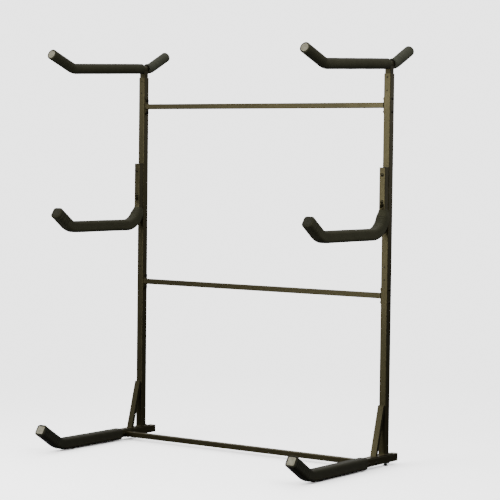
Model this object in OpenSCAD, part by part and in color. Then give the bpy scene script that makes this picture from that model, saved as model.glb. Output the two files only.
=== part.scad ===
// Freestanding kayak rack: two padded end frames joined by three bolted crossbars.
// X runs along the crossbars, -Y points to the front where the arms reach out, Z is up.
// The origin lies on the floor, in the middle of the rack's outline.

/* [Frame] */
// Distance between the centres of the two uprights
upright_span = 1524; // [900:1:2400]
// Outer side of the square upright and base tubes
tube_s = 38.1; // [32:0.1:60]
// Wall of the upright and base tubes
tube_wall = 2.5; // [1.5:0.1:4]
// Outer corner radius of the upright and base tubes
tube_corner = 3.5; // [3:0.1:6]
// Outer corner radius of the arm, crossbar, stub and coupler tubes
inner_corner = 2.5; // [2:0.1:4]
// Length of each lower upright
lower_len = 937; // [600:1:1400]
// Length of each upper upright
upper_len = 921; // [860:1:1400]

/* [Base] */
// Height of the base tubes above the floor, taken up by the feet
foot_h = 16; // [13:0.5:40]
// How far each base tube runs behind the upright's centre
base_rear = 100; // [85:1:300]
// From the upright's centre forward to the corner of the base tube's bend
base_reach = 663; // [480:1:1000]
// Length of the base tube's raised front end, from the corner of its bend
base_tip = 161; // [120:1:300]
// Angle of the raised front end
base_tip_angle = 32.3; // [5:0.1:60]
// Radius of the base tube's bend, at its centreline
base_bend_r = 150; // [80:1:200]
// Thickness of the foot plate under each upright and brace
foot_plate_t = 4; // [3:0.5:8]
// From the upright's centre forward to the front end of its foot plate
plate_front = 186; // [175:1:260]
// From the upright's centre back to the rear end of its foot plate
plate_rear = 56; // [50:1:75]
// Distance of the foot plate's bolts from its ends
plate_bolt_edge = 12; // [10:0.5:14]
// Front foot, behind the start of the base tube's bend
front_foot_back = 62; // [20:1:150]
// Rear foot, in front of the foot plate's rear bolt
rear_foot_gap = 24; // [23:1:60]

/* [Brace] */
// Width of the diagonal brace across the rack
brace_w = 32; // [16:0.5:38]
// Depth of the brace, square to its length
brace_d = 17; // [10:0.5:30]
// From the upright's centre forward to the front of the brace's foot
brace_reach = 99; // [75:1:145]
// Height of the brace's level-cut top above the foot plate
brace_h = 243; // [150:1:400]
// How far the brace's top edge stands in front of the upright
brace_lip = 14; // [8:0.5:14]

/* [Middle arms] */
// Outer side of the square arm tube
arm_s = 33; // [25:0.1:38]
// Top of the arm tube, below the top of the upright
arm_top_drop = 457; // [220:1:540]
// From the upright's centre forward to the corner of the arm's front bend
arm_reach = 589; // [400:1:1000]
// Length of the arm's raised front end, from the corner of its bend
arm_tip = 121; // [90:1:300]
// Angle of the arm's raised front end
arm_tip_angle = 36; // [5:0.1:60]
// Upper arm bolt, below the top of the arm
arm_bolt_drop = 34; // [32:0.5:60]
// Distance between the two arm bolts
arm_bolt_pitch = 130; // [60:0.5:150]
// Lower arm bolt, above the top of the arm's foam
arm_bolt_rise = 47; // [12:0.5:80]

/* [Top cradles] */
// Outer diameter of the round cradle tube
cradle_d = 32; // [26:0.1:38]
// Height of the cradle's centreline above the top of the upright, over its stub
cradle_rise = 48; // [44:0.5:200]
// Forward fall of the cradle's straight run
cradle_tilt = 2.5; // [0.1:0.1:5]
// From the stub forward to the corner of the cradle's front bend
cradle_reach = 571; // [350:1:1000]
// Length of the cradle's raised front end, from the corner of its bend
cradle_tip = 176; // [90:1:300]
// Straight run of the cradle between the start of its rear foam and its rear bend
cradle_rear_run = 1; // [1:0.5:200]
// Length of the cradle's raised rear end, from the corner of its bend
cradle_rear_tip = 151; // [90:1:300]
// Angle of both of the cradle's bends
cradle_bend = 24; // [8:0.1:60]
// Radius of the arm and cradle bends, at the centreline
bend_r = 110; // [75:1:130]
// How far a cradle can be raised with both lock screws still on its stub
cradle_lift = 20; // [5:1:28]

/* [Inner tubes] */
// Clearance between the stub or coupler and the wall of the upright around it
inner_fit = 0.55; // [0.3:0.05:1.5]
// Wall of the arm, cradle, stub, coupler and brace tubes
inner_wall = 2; // [1.5:0.1:3]
// How far each coupler reaches into the lower upright
coupler_down = 105; // [90:1:115]
// How far each coupler reaches into the upper upright
coupler_up = 100; // [60:1:150]
// First lock screw, below the end of its tube
screw_drop = 18; // [10:0.5:26]
// Distance between the two lock screws of one end
screw_pitch = 63.5; // [30:0.5:66]

/* [Crossbars] */
// Outer side of the square crossbars
bar_s = 27; // [22:0.1:34]
// Wall of the crossbars
bar_wall = 2; // [1.2:0.1:3]
// Top crossbar's centreline, below the top of the uprights
top_bar_drop = 153; // [150:1:170]
// Middle crossbar's centreline, below the joint between the upright tubes
middle_bar_drop = 160; // [152:1:220]
// Bottom crossbar's front bolts, behind the front bolts of the foot plates
bottom_bar_back = 14.25; // [13.5:0.25:40]
// Thickness of the crossbars' end plates
end_plate_t = 4; // [3:0.5:8]
// Length of the end plates
end_plate_len = 90; // [86:1:140]
// Distance between the two bolts of an end plate
end_bolt_pitch = 63.5; // [58:0.5:66]

/* [Foam and end caps] */
// Foam over the base tubes
base_foam_t = 10; // [5:0.5:12]
// Foam over the middle arms, which also closes their front ends
arm_foam_t = 11.5; // [5:0.5:20]
// Foam over the cradles, which also closes their rear ends
cradle_foam_t = 10; // [5:0.5:20]
// Corner radius of the foam over the square tubes
foam_corner = 15; // [10:0.5:16]
// Distance between each foot plate and the foam in front of it
base_foam_gap = 2; // [0.5:0.5:40]
// Length of bare cradle tube left on each side of the stub
foam_stub_gap = 5; // [4:0.5:20]
// How far the flanges of the base's front caps reach past the tube
base_cap_lip = 4; // [1:0.5:8]
// How far the flanges of the cradles' front caps reach past the tube
cradle_cap_lip = 7; // [1:0.5:9]
// Thickness of those light caps
cap_t = 4; // [2:0.5:8]
// Corner radius of the square ones
cap_corner = 5; // [3.5:0.5:8]
// Thickness of the thin dark plugs in the other tube ends
plug_t = 2.5; // [1.5:0.5:5]
// How far plugs and caps reach into their tubes
plug_depth = 24; // [12:1:26]
// Clearance round the stem of a plug or cap
stem_gap = 1.5; // [1:0.1:3]
// Clearance round the two ribs of such a stem
rib_gap = 0.75; // [0.3:0.05:0.95]
// Clearance in the base foam round the front foot
foot_foam_gap = 4; // [2:0.5:6]

/* [Fasteners and feet] */
// Diameter of the bolts
bolt_d = 8; // [6:0.5:9]
// Diameter of the lock screws
screw_d = 7; // [5:0.5:8]
// Diameter of the feet
foot_d = 24; // [20:0.5:30]
// Width of the feet's hexagons across flats
foot_hex_w = 13; // [12:0.5:17]
// Diameter of the feet's threaded studs
stud_d = 8; // [6:0.5:10]
// Wall of the threaded inserts round the studs
insert_wall = 1.5; // [1:0.1:2]
// Thickness of the inserts' flanges under their tubes
insert_flange_t = 1.2; // [0.8:0.1:2]
// Length of the threaded inserts above the floor of their tubes
insert_len = 13; // [8:0.5:16]
// How far a foot can be screwed out with its stud still full in the insert
foot_travel = 12; // [5:0.5:14]

/* [Fits] */
// Clearance round a bolt in its holes
hole_gap = 0.2; // [0.1:0.05:0.5]
// Clearance between foam and tube
sleeve_gap = 0.15; // [0.1:0.05:0.4]
// Clearance of a lock screw in its hole and at its tip
seat_gap = 0.05; // [0.02:0.01:0.2]
// Radial clearance between a foot's stud and its insert
stud_gap = 0.08; // [0.02:0.01:0.1]
// Gap between a foot that is screwed home and its insert
foot_gap = 0.3; // [0.1:0.1:0.5]

/* [Hidden] */
$fn = 48;
half_span = upright_span / 2;
bore_s = tube_s - 2 * tube_wall;
inner_s = bore_s - 2 * inner_fit;
arm_bore = arm_s - 2 * inner_wall;
cradle_bore = cradle_d - 2 * inner_wall;
hole_d = bolt_d + 2 * hole_gap;

// Heights
base_z = foot_h + tube_s / 2;
base_top = foot_h + tube_s;
plate_top = base_top + foot_plate_t;
seam_z = plate_top + lower_len;
upright_top = seam_z + upper_len;
cradle_z = upright_top + cradle_rise;
top_bar_z = upright_top - top_bar_drop;
middle_bar_z = seam_z - middle_bar_drop;
bottom_bar_z = foot_h + bar_s / 2;

// Bent tubes and sleeves: the bends' section against the legs', and the legs' run into a bend
tube_swell = 1.001;
foam_swell = 1.005;
bend_lap = 0.5;

// Straight length that a bend takes from each leg at its corner
function bend_cut(radius, angle) = radius * tan(angle / 2);
base_cut = bend_cut(base_bend_r, base_tip_angle);
arm_cut = bend_cut(bend_r, arm_tip_angle);
cradle_cut = bend_cut(bend_r, cradle_bend);

// Along the base
plate_bolt_front = plate_front - plate_bolt_edge;
plate_bolt_rear = plate_rear - plate_bolt_edge;
bottom_bar_y = plate_bolt_front - bottom_bar_back - end_bolt_pitch / 2;
base_foam_start = plate_front + base_foam_gap;
foot_front = base_reach - base_cut - front_foot_back;
foot_rear = plate_bolt_rear - rear_foot_gap;
brace_angle = atan((brace_reach - tube_s / 2 - brace_lip) / brace_h);

// The middle arm hangs down the front of the upright and then turns forward
arm_y = tube_s / 2 + arm_s / 2;
arm_top = upright_top - arm_top_drop;
arm_drop_leg = arm_bolt_drop + arm_bolt_pitch + arm_bolt_rise;
arm_z = arm_top - arm_drop_leg - bend_r;
arm_run_leg = arm_reach - arm_y - bend_r - arm_cut;
arm_bolt_z = [for (i = [0, 1]) arm_top - arm_bolt_drop - i * arm_bolt_pitch];

// Cradles and their stubs
stub_depth = screw_drop + screw_pitch + screw_d / 2 + cradle_lift;
cradle_foam_start = inner_s / 2 + foam_stub_gap;
cradle_back = cradle_foam_start + cradle_rear_run + cradle_cut;

// Foam and caps
base_foam_s = tube_s + 2 * base_foam_t;
arm_foam_s = arm_s + 2 * arm_foam_t;
cradle_foam_d = cradle_d + 2 * cradle_foam_t;
foot_hole_d = foot_d + 2 * foot_foam_gap;
base_cap_w = tube_s + 2 * base_cap_lip;
cradle_cap_d = cradle_d + 2 * cradle_cap_lip;
rib_t = plug_depth * 0.12;

// Bolts: button heads, hexagon nuts and plain washers in proportion to the bolt
head_d = bolt_d * 1.75;
head_h = bolt_d * 0.55;
nut_w = bolt_d * 1.625;
nut_h = bolt_d * 0.8;
thread_end = bolt_d * 0.3;
washer_d = bolt_d * 2.1;
washer_t = bolt_d * 0.2;
socket_w = bolt_d * 0.62;
socket_depth = head_h * 0.6;
end_bolt_grip = tube_s + end_plate_t;
arm_bolt_grip = arm_s + tube_s;
base_bolt_grip = foot_plate_t + tube_s;
crossbar_zs = [top_bar_z, middle_bar_z];

// Feet
insert_flange_d = stud_d * 1.9;
insert_d = stud_d + 2 * insert_wall;
insert_top = foot_h + tube_wall + insert_len;
pad_h = foot_h * 0.55;
stud_top = insert_top + foot_travel;

// How far a bent-up end reaches from the upright: its end face's half width counts too
function tip_edge(reach, tip, half, angle, tilt = 0) =
    reach * cos(tilt) + tip * cos(angle + tilt) + half * sin(angle + tilt);

// The rack is drawn round the uprights' centre plane, then moved to centre its outline
front_edge = max(
    tip_edge(base_reach, base_tip + cap_t, base_cap_w / 2, base_tip_angle),
    tip_edge(base_reach, base_tip, base_foam_s / 2, base_tip_angle),
    tip_edge(arm_reach, arm_tip + arm_foam_t, arm_foam_s / 2, arm_tip_angle),
    tip_edge(cradle_reach, cradle_tip + cap_t, cradle_cap_d / 2, cradle_bend, -cradle_tilt));
rear_edge = max(base_rear + plug_t,
    tip_edge(cradle_back, cradle_rear_tip + cradle_foam_t, cradle_foam_d / 2, cradle_bend,
        cradle_tilt));
y_centre = (front_edge - rear_edge) / 2;

frame_paint = [0.21, 0.2, 0.15];
foam_grey = [0.25, 0.26, 0.22];
foam_light = [0.42, 0.44, 0.37];
cap_beige = [0.86, 0.83, 0.74];
plug_black = [0.08, 0.08, 0.08];
zinc = [0.62, 0.66, 0.7];
black_steel = [0.12, 0.12, 0.12];
rubber = [0.06, 0.06, 0.06];

// ---- Places -------------------------------------------------------------

// Puts a left-hand end's piece in place, or its mirror image on the right
module on_side(side) {
    translate([0, y_centre, 0])
        if (side == "left") translate([-half_span, 0, 0]) children();
        else mirror([1, 0, 0]) translate([-half_span, 0, 0]) children();
}

module on_both_sides() {
    on_side("left") children();
    on_side("right") children();
}

// Turns a path's start from +Z to the front, with its +Y side up
module facing_front() {
    rotate([90, 0, 0]) children();
}

// The base tube's centreline: a path that starts the given distance in front of the upright
module along_base(start, swell) {
    translate([0, -start, base_z]) facing_front()
        follow([base_reach - start - base_cut, base_tip - base_cut], [base_tip_angle], base_bend_r,
            swell) children();
}

// The front end of the base tube, with +Z pointing out of it
module at_base_front() {
    translate([0, -base_reach, base_z]) facing_front()
        rotate([-base_tip_angle, 0, 0]) translate([0, 0, base_tip]) children();
}

// The arm tube's centreline from a height above its large bend to a point beyond its end
module along_arm(above_bend, swell, beyond = 0) {
    translate([0, -arm_y, arm_z + bend_r + above_bend]) rotate([180, 0, 0])
        follow([above_bend, arm_run_leg, arm_tip - arm_cut + beyond], [90, arm_tip_angle], bend_r,
            swell) children();
}

// The front end of the arm tube, with +Z pointing out of it
module at_arm_front() {
    translate([0, -arm_reach, arm_z]) facing_front()
        rotate([-arm_tip_angle, 0, 0]) translate([0, 0, arm_tip]) children();
}

// The cradle's own frame: its centreline over the stub, with the straight run level
module in_cradle() {
    translate([0, 0, cradle_z]) rotate([cradle_tilt, 0, 0]) children();
}

// The cradle's centreline forward or back from a point beside the stub
module along_cradle(start, reach, tip) {
    translate([0, -start, 0]) facing_front()
        follow([reach - start - cradle_cut, tip - cradle_cut], [cradle_bend], bend_r, foam_swell)
            children();
}

// The end of a cradle arm of that reach and tip, with +Z pointing out of it
module at_cradle_end(reach, tip) {
    translate([0, -reach, 0]) facing_front()
        rotate([-cradle_bend, 0, 0]) translate([0, 0, tip]) children();
}

// ---- Shapes -------------------------------------------------------------

// Sweeps a profile up +Z along straight legs, with a bend towards +Y after each leg but the last.
// The legs run a short way into the bends, whose section is a hair larger.
module follow(legs, turns, radius, swell, i = 0) {
    lap_before = i > 0 ? bend_lap : 0;
    lap_after = i < len(turns) ? bend_lap : 0;
    if (legs[i] > 0) translate([0, 0, -lap_before])
        linear_extrude(legs[i] + lap_before + lap_after) children();
    if (i < len(turns)) translate([0, 0, legs[i]]) {
        multmatrix([[0, 0, -1, 0], [-1, 0, 0, radius], [0, 1, 0, 0]])
            rotate_extrude(angle = turns[i], $fn = 96)
                translate([radius, 0]) scale(swell) children();
        translate([0, radius * (1 - cos(turns[i])), radius * sin(turns[i])])
            rotate([-turns[i], 0, 0]) follow(legs, turns, radius, swell, i + 1) children();
    }
}

// A square with round corners
module round_square(side, radius) {
    flat = side - 2 * radius;
    union() {
        square([side, flat], center = true);
        square([flat, side], center = true);
        for (x = [-1, 1], y = [-1, 1]) translate([x, y] * flat / 2) circle(radius);
    }
}

// The wall of a square tube
module square_wall(side, wall, corner) {
    difference() {
        round_square(side, corner);
        round_square(side - 2 * wall, corner - wall * 0.6);
    }
}

module round_wall(outer_d, inner_d) {
    difference() {
        circle(d = outer_d);
        circle(d = inner_d);
    }
}

// The section of a foam sleeve over a square tube
module square_foam(side, tube_side, corner) {
    difference() {
        round_square(side, foam_corner);
        round_square(tube_side + 2 * sleeve_gap, corner);
    }
}

module tube_wall_section() {
    square_wall(tube_s, tube_wall, tube_corner);
}

// A push-in plug for a square bore: its flange stands on +Z, its ribbed stem hangs in the tube
module square_plug(flange_w, flange_t, flange_corner, bore_w) {
    linear_extrude(flange_t) round_square(flange_w, flange_corner);
    translate([0, 0, -plug_depth]) linear_extrude(plug_depth)
        square(bore_w - 2 * stem_gap, center = true);
    at_plug_ribs() linear_extrude(rib_t) square(bore_w - 2 * rib_gap, center = true);
}

// Both ribs of a plug's or cap's stem
module at_plug_ribs() {
    for (share = [0.3, 0.8]) translate([0, 0, -plug_depth * share]) children();
}

// A bolt along +Z: the clamped stack starts at 0, the button head lies below it
module button_bolt(grip) {
    difference() {
        union() {
            cylinder(h = grip + nut_h + thread_end, d = bolt_d);
            intersection() {
                translate([0, 0, -head_h]) cylinder(h = head_h, d = head_d);
                translate([0, 0, head_d * 0.55 - head_h]) sphere(d = head_d * 1.1);
            }
        }
        translate([0, 0, -head_h - 1]) cylinder(h = socket_depth + 1, d = socket_w, $fn = 6);
    }
}

// A hexagon nut standing on the XY plane
module nut() {
    difference() {
        cylinder(h = nut_h, d = nut_w / cos(30), $fn = 6);
        translate([0, 0, -1]) cylinder(h = nut_h + 2, d = bolt_d + 2 * seat_gap);
    }
}

// The holes of one pair of lock screws, below a tube end at z
module screw_holes(end_z) {
    for (i = [0, 1]) translate([0, 0, end_z - screw_drop - i * screw_pitch]) rotate([90, 0, 0])
        cylinder(h = tube_s, d = screw_d + 2 * seat_gap);
}

// The holes of one crossbar's bolts through an upright
module end_bolt_holes(z) {
    for (side = [-1, 1]) translate([0, 0, z + side * end_bolt_pitch / 2]) rotate([0, 90, 0])
        cylinder(h = tube_s + 2, d = hole_d, center = true);
}

// Every crossbar bolt of a left-hand end, pointing inwards along +Z
module at_end_bolts() {
    for (side = [-1, 1]) {
        for (z = crossbar_zs) translate([-tube_s / 2, 0, z + side * end_bolt_pitch / 2])
            rotate([0, 90, 0]) children();
        translate([-tube_s / 2, -bottom_bar_y + side * end_bolt_pitch / 2, bottom_bar_z])
            rotate([0, 90, 0]) children();
    }
}

// Both arm bolts, pointing back along +Z from the arm's front face
module at_arm_bolts() {
    for (z = arm_bolt_z) translate([0, -arm_y - arm_s / 2, z]) rotate([-90, 0, 0]) children();
}

// Both foot plate bolts, pointing down along +Z from the plate's top
module at_plate_bolts() {
    for (y = [-plate_bolt_front, plate_bolt_rear]) translate([0, y, plate_top])
        rotate([180, 0, 0]) children();
}

module at_feet() {
    for (y = [-foot_front, foot_rear]) translate([0, y, 0]) children();
}

// ---- Base ---------------------------------------------------------------

module base_tube() {
    color(frame_paint) difference() {
        along_base(-base_rear, tube_swell) tube_wall_section();
        at_plate_bolts() translate([0, 0, -1]) cylinder(h = base_bolt_grip + 2, d = hole_d);
        at_feet() cylinder(h = base_z, d = insert_d + 2 * hole_gap);
        for (side = [-1, 1]) translate([0, -bottom_bar_y + side * end_bolt_pitch / 2, bottom_bar_z])
            rotate([0, 90, 0]) cylinder(h = tube_s + 2, d = hole_d, center = true);
    }
}

module base_foam() {
    color(foam_grey) difference() {
        along_base(base_foam_start, foam_swell) square_foam(base_foam_s, tube_s, tube_corner);
        translate([0, -foot_front, 0]) cylinder(h = foot_h, d = foot_hole_d);
    }
}

module base_front_cap() {
    color(cap_beige) at_base_front() square_plug(base_cap_w, cap_t, cap_corner, bore_s);
}

module base_rear_plug() {
    color(plug_black) translate([0, base_rear, base_z]) rotate([-90, 0, 0])
        square_plug(tube_s, plug_t, tube_corner, bore_s);
}

module foot_plate() {
    length = plate_front + plate_rear;
    color(frame_paint) difference() {
        translate([0, (plate_rear - plate_front) / 2, base_top])
            translate([-tube_s / 2, -length / 2, 0]) cube([tube_s, length, foot_plate_t]);
        at_plate_bolts() translate([0, 0, -1]) cylinder(h = foot_plate_t + 2, d = hole_d);
    }
}

// Rectangular tube, cut level at both ends and mitred where it meets the upright
module brace() {
    color(frame_paint) difference() {
        intersection() {
            translate([0, -tube_s / 2 - brace_lip, plate_top + brace_h]) rotate([-brace_angle, 0, 0])
                translate([0, brace_d / 2, -brace_h * 1.5]) difference() {
                    translate([-brace_w / 2, -brace_d / 2, 0])
                        cube([brace_w, brace_d, brace_h * 2]);
                    translate([-brace_w / 2 + inner_wall, -brace_d / 2 + inner_wall, -1])
                        cube([brace_w - 2 * inner_wall, brace_d - 2 * inner_wall, brace_h * 2 + 2]);
                }
            translate([-brace_w, -base_reach, plate_top]) cube([2 * brace_w, base_reach, brace_h]);
        }
        translate([-brace_w, -tube_s / 2, 0]) cube([2 * brace_w, tube_s, upright_top]);
    }
}

// ---- Uprights -----------------------------------------------------------

module lower_upright() {
    color(frame_paint) difference() {
        translate([0, 0, plate_top]) linear_extrude(lower_len) tube_wall_section();
        end_bolt_holes(middle_bar_z);
        screw_holes(seam_z);
    }
}

module coupler() {
    color(frame_paint) translate([0, 0, seam_z - coupler_down])
        linear_extrude(coupler_down + coupler_up) square_wall(inner_s, inner_wall, inner_corner);
}

module upper_upright() {
    color(frame_paint) difference() {
        translate([0, 0, seam_z]) linear_extrude(upper_len) tube_wall_section();
        end_bolt_holes(top_bar_z);
        screw_holes(upright_top);
        at_arm_bolts() translate([0, 0, -1]) cylinder(h = arm_bolt_grip + 2, d = hole_d);
    }
}

// ---- Middle arms --------------------------------------------------------

module arm_tube() {
    color(frame_paint) difference() {
        along_arm(arm_drop_leg, tube_swell) square_wall(arm_s, inner_wall, inner_corner);
        at_arm_bolts() translate([0, 0, -1]) cylinder(h = arm_s + 2, d = hole_d);
    }
}

// The sleeve is trimmed flat where its upper end meets the front of the upright
module arm_foam() {
    color(foam_grey) difference() {
        union() {
            along_arm(0, foam_swell, bend_lap) square_foam(arm_foam_s, arm_s, inner_corner);
            at_arm_front() linear_extrude(arm_foam_t) scale(foam_swell)
                round_square(arm_foam_s, foam_corner);
        }
        translate([-arm_foam_s, -tube_s / 2 - seat_gap, arm_z])
            cube([2 * arm_foam_s, arm_foam_s, 2 * bend_r]);
    }
}

module arm_plug() {
    color(plug_black) translate([0, -arm_y, arm_top])
        square_plug(arm_s, plug_t, inner_corner, arm_bore);
}

// ---- Top cradles --------------------------------------------------------

module cradle_tube() {
    color(frame_paint) in_cradle() {
        along_cradle(0, cradle_reach, cradle_tip) round_wall(cradle_d, cradle_bore);
        mirror([0, 1, 0]) along_cradle(0, cradle_back, cradle_rear_tip)
            round_wall(cradle_d, cradle_bore);
    }
}

// Square tube that is coped to the round tube above and slides in the upright
module cradle_stub() {
    color(frame_paint) difference() {
        translate([0, 0, upright_top - stub_depth])
            linear_extrude(stub_depth + cradle_rise - cradle_d * 0.2)
                square_wall(inner_s, inner_wall, inner_corner);
        in_cradle() rotate([90, 0, 0]) cylinder(h = 4 * inner_s, d = cradle_d, center = true);
    }
}

module cradle_front_foam() {
    color(foam_grey) in_cradle() along_cradle(cradle_foam_start, cradle_reach, cradle_tip)
        round_wall(cradle_foam_d, cradle_d + 2 * sleeve_gap);
}

module cradle_rear_foam() {
    color(foam_light) in_cradle() mirror([0, 1, 0]) {
        along_cradle(cradle_foam_start, cradle_back, cradle_rear_tip + bend_lap)
            round_wall(cradle_foam_d, cradle_d + 2 * sleeve_gap);
        at_cradle_end(cradle_back, cradle_rear_tip)
            cylinder(h = cradle_foam_t, d = cradle_foam_d * foam_swell);
    }
}

module cradle_cap() {
    color(cap_beige) in_cradle() at_cradle_end(cradle_reach, cradle_tip) {
        cylinder(h = cap_t, d = cradle_cap_d);
        translate([0, 0, -plug_depth]) cylinder(h = plug_depth, d = cradle_bore - 2 * stem_gap);
        at_plug_ribs() cylinder(h = rib_t, d = cradle_bore - 2 * rib_gap);
    }
}

// ---- Crossbars ----------------------------------------------------------

// A crossbar of the given length at its place, between its two end plates
module crossbar(y, z) {
    bar_len = upright_span - tube_s - 2 * end_plate_t;
    color(frame_paint) translate([-bar_len / 2, y_centre - y, z]) rotate([90, 0, 90])
        linear_extrude(bar_len) square_wall(bar_s, bar_wall, inner_corner);
}

module top_crossbar() {
    crossbar(0, top_bar_z);
}

module middle_crossbar() {
    crossbar(0, middle_bar_z);
}

module bottom_crossbar() {
    crossbar(bottom_bar_y, bottom_bar_z);
}

// One end plate, its long side along +X, standing on the XY plane
module end_plate() {
    difference() {
        linear_extrude(end_plate_t) union() {
            square([end_plate_len - bar_s, bar_s], center = true);
            for (x = [-1, 1]) translate([x * (end_plate_len - bar_s) / 2, 0]) circle(d = bar_s);
        }
        for (x = [-1, 1]) translate([x * end_bolt_pitch / 2, 0, -1])
            cylinder(h = end_plate_t + 2, d = hole_d);
    }
}

module crossbar_end_plates() {
    color(frame_paint) on_both_sides() {
        for (z = crossbar_zs) translate([tube_s / 2, 0, z]) rotate([0, 90, 0]) end_plate();
        translate([tube_s / 2, -bottom_bar_y, bottom_bar_z]) rotate([90, 0, 90]) end_plate();
    }
}

// ---- Fasteners ----------------------------------------------------------

module crossbar_bolts() {
    color(black_steel) on_both_sides() at_end_bolts() button_bolt(end_bolt_grip);
}

module crossbar_nuts() {
    color(black_steel) on_both_sides() at_end_bolts() translate([0, 0, end_bolt_grip]) nut();
}

module arm_bolts() {
    color(black_steel) on_both_sides() at_arm_bolts() translate([0, 0, -washer_t])
        button_bolt(arm_bolt_grip + 2 * washer_t);
}

// A washer under each arm bolt's head and each nut
module arm_washers() {
    color(black_steel) on_both_sides() at_arm_bolts() for (z = [-washer_t, arm_bolt_grip])
        translate([0, 0, z]) linear_extrude(washer_t) round_wall(washer_d, hole_d);
}

module arm_nuts() {
    color(zinc) on_both_sides() at_arm_bolts() translate([0, 0, arm_bolt_grip + washer_t]) nut();
}

module foot_plate_bolts() {
    color(black_steel) on_both_sides() at_plate_bolts() button_bolt(base_bolt_grip);
}

module foot_plate_nuts() {
    color(zinc) on_both_sides() at_plate_bolts() translate([0, 0, base_bolt_grip]) nut();
}

// Screws that sit flush in the upright's front wall and press on the tube inside it
module lock_screws() {
    inner_gap = (tube_s - inner_s) / 2 - seat_gap;
    color(black_steel) on_both_sides()
        for (end_z = [seam_z, upright_top], i = [0, 1])
            translate([0, -tube_s / 2, end_z - screw_drop - i * screw_pitch]) rotate([-90, 0, 0])
                difference() {
                    cylinder(h = inner_gap, d = screw_d);
                    translate([0, 0, -1]) cylinder(h = inner_gap * 0.5 + 1, d = screw_d * 0.6, $fn = 6);
                }
}

// ---- Feet ---------------------------------------------------------------

// Threaded inserts in the floor of the base tubes
module foot_inserts() {
    color(zinc) on_both_sides() at_feet() difference() {
        union() {
            translate([0, 0, foot_h - insert_flange_t])
                cylinder(h = insert_flange_t, d = insert_flange_d);
            translate([0, 0, foot_h]) cylinder(h = insert_len + tube_wall, d = insert_d);
        }
        cylinder(h = base_top, d = stud_d + 2 * stud_gap);
    }
}

// A foot that screws in and out: rubber pad, hexagon and stud
module foot(y) {
    hex_top = foot_h - insert_flange_t - foot_gap;
    color(rubber) translate([0, y, 0]) {
        cylinder(h = pad_h * 0.45, d = foot_d);
        translate([0, 0, pad_h * 0.45]) cylinder(h = pad_h * 0.55, d1 = foot_d, d2 = foot_hex_w);
        translate([0, 0, pad_h]) cylinder(h = hex_top - pad_h, d = foot_hex_w / cos(30), $fn = 6);
        translate([0, 0, hex_top]) cylinder(h = stud_top - hex_top, d = stud_d);
    }
}

// ---- Nodes --------------------------------------------------------------

on_side("left") base_tube();  // left_base_tube
on_side("right") base_tube();  // right_base_tube
on_side("left") base_foam();  // left_base_foam
on_side("right") base_foam();  // right_base_foam
on_side("left") base_front_cap();  // left_base_front_cap
on_side("right") base_front_cap();  // right_base_front_cap
on_side("left") base_rear_plug();  // left_base_rear_plug
on_side("right") base_rear_plug();  // right_base_rear_plug
on_side("left") foot_plate();  // left_foot_plate
on_side("right") foot_plate();  // right_foot_plate
on_side("left") brace();  // left_brace
on_side("right") brace();  // right_brace
on_side("left") lower_upright();  // left_lower_upright
on_side("right") lower_upright();  // right_lower_upright
on_side("left") coupler();  // left_coupler
on_side("right") coupler();  // right_coupler
on_side("left") upper_upright();  // left_upper_upright
on_side("right") upper_upright();  // right_upper_upright
on_side("left") arm_tube();  // left_arm_tube
on_side("right") arm_tube();  // right_arm_tube
on_side("left") arm_foam();  // left_arm_foam
on_side("right") arm_foam();  // right_arm_foam
on_side("left") arm_plug();  // left_arm_plug
on_side("right") arm_plug();  // right_arm_plug
on_side("left") cradle_tube();  // left_cradle_tube
on_side("right") cradle_tube();  // right_cradle_tube
on_side("left") cradle_stub();  // left_cradle_stub
on_side("right") cradle_stub();  // right_cradle_stub
on_side("left") cradle_front_foam();  // left_cradle_front_foam
on_side("right") cradle_front_foam();  // right_cradle_front_foam
on_side("left") cradle_rear_foam();  // left_cradle_rear_foam
on_side("right") cradle_rear_foam();  // right_cradle_rear_foam
on_side("left") cradle_cap();  // left_cradle_cap
on_side("right") cradle_cap();  // right_cradle_cap
on_side("left") foot(-foot_front);  // left_front_foot
on_side("right") foot(-foot_front);  // right_front_foot
on_side("left") foot(foot_rear);  // left_rear_foot
on_side("right") foot(foot_rear);  // right_rear_foot
top_crossbar();
middle_crossbar();
bottom_crossbar();
crossbar_end_plates();
crossbar_bolts();
crossbar_nuts();
arm_bolts();
arm_washers();
arm_nuts();
foot_plate_bolts();
foot_plate_nuts();
lock_screws();
foot_inserts();
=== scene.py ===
import math

import bpy
import numpy as np
from mathutils import Matrix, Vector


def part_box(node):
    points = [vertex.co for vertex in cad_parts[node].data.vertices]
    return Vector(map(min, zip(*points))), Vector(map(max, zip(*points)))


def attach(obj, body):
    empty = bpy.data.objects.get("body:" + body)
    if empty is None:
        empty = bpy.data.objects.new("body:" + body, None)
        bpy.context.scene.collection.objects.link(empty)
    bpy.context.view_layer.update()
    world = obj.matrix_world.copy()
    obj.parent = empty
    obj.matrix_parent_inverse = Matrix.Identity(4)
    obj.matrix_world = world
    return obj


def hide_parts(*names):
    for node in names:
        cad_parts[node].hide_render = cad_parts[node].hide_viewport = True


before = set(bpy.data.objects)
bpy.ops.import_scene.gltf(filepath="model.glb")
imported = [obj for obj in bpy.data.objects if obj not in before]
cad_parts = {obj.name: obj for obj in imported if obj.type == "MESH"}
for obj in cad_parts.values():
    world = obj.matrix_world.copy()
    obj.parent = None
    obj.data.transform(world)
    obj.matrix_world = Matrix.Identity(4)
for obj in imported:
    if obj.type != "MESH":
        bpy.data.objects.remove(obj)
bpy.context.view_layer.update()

# ---- Powder-coated steel frame ---------------------------------------------------------------
# Every tube, plate and crossbar is mild steel, welded or bolted, with one baked coat of satin
# powder: near black with an olive-brown cast, a faint orange-peel skin and a little dust on top.
# The braces and the cradles' stubs take a copy of the coat that shines less: painted shade,
# for the dimmer light low on the braces and under the foam round the stubs.
COAT_COLOUR = (0.0165, 0.0145, 0.0075)
COAT_SHADE = (0.0115, 0.0105, 0.0055)
COAT_WORN = (0.09, 0.078, 0.045)
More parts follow.
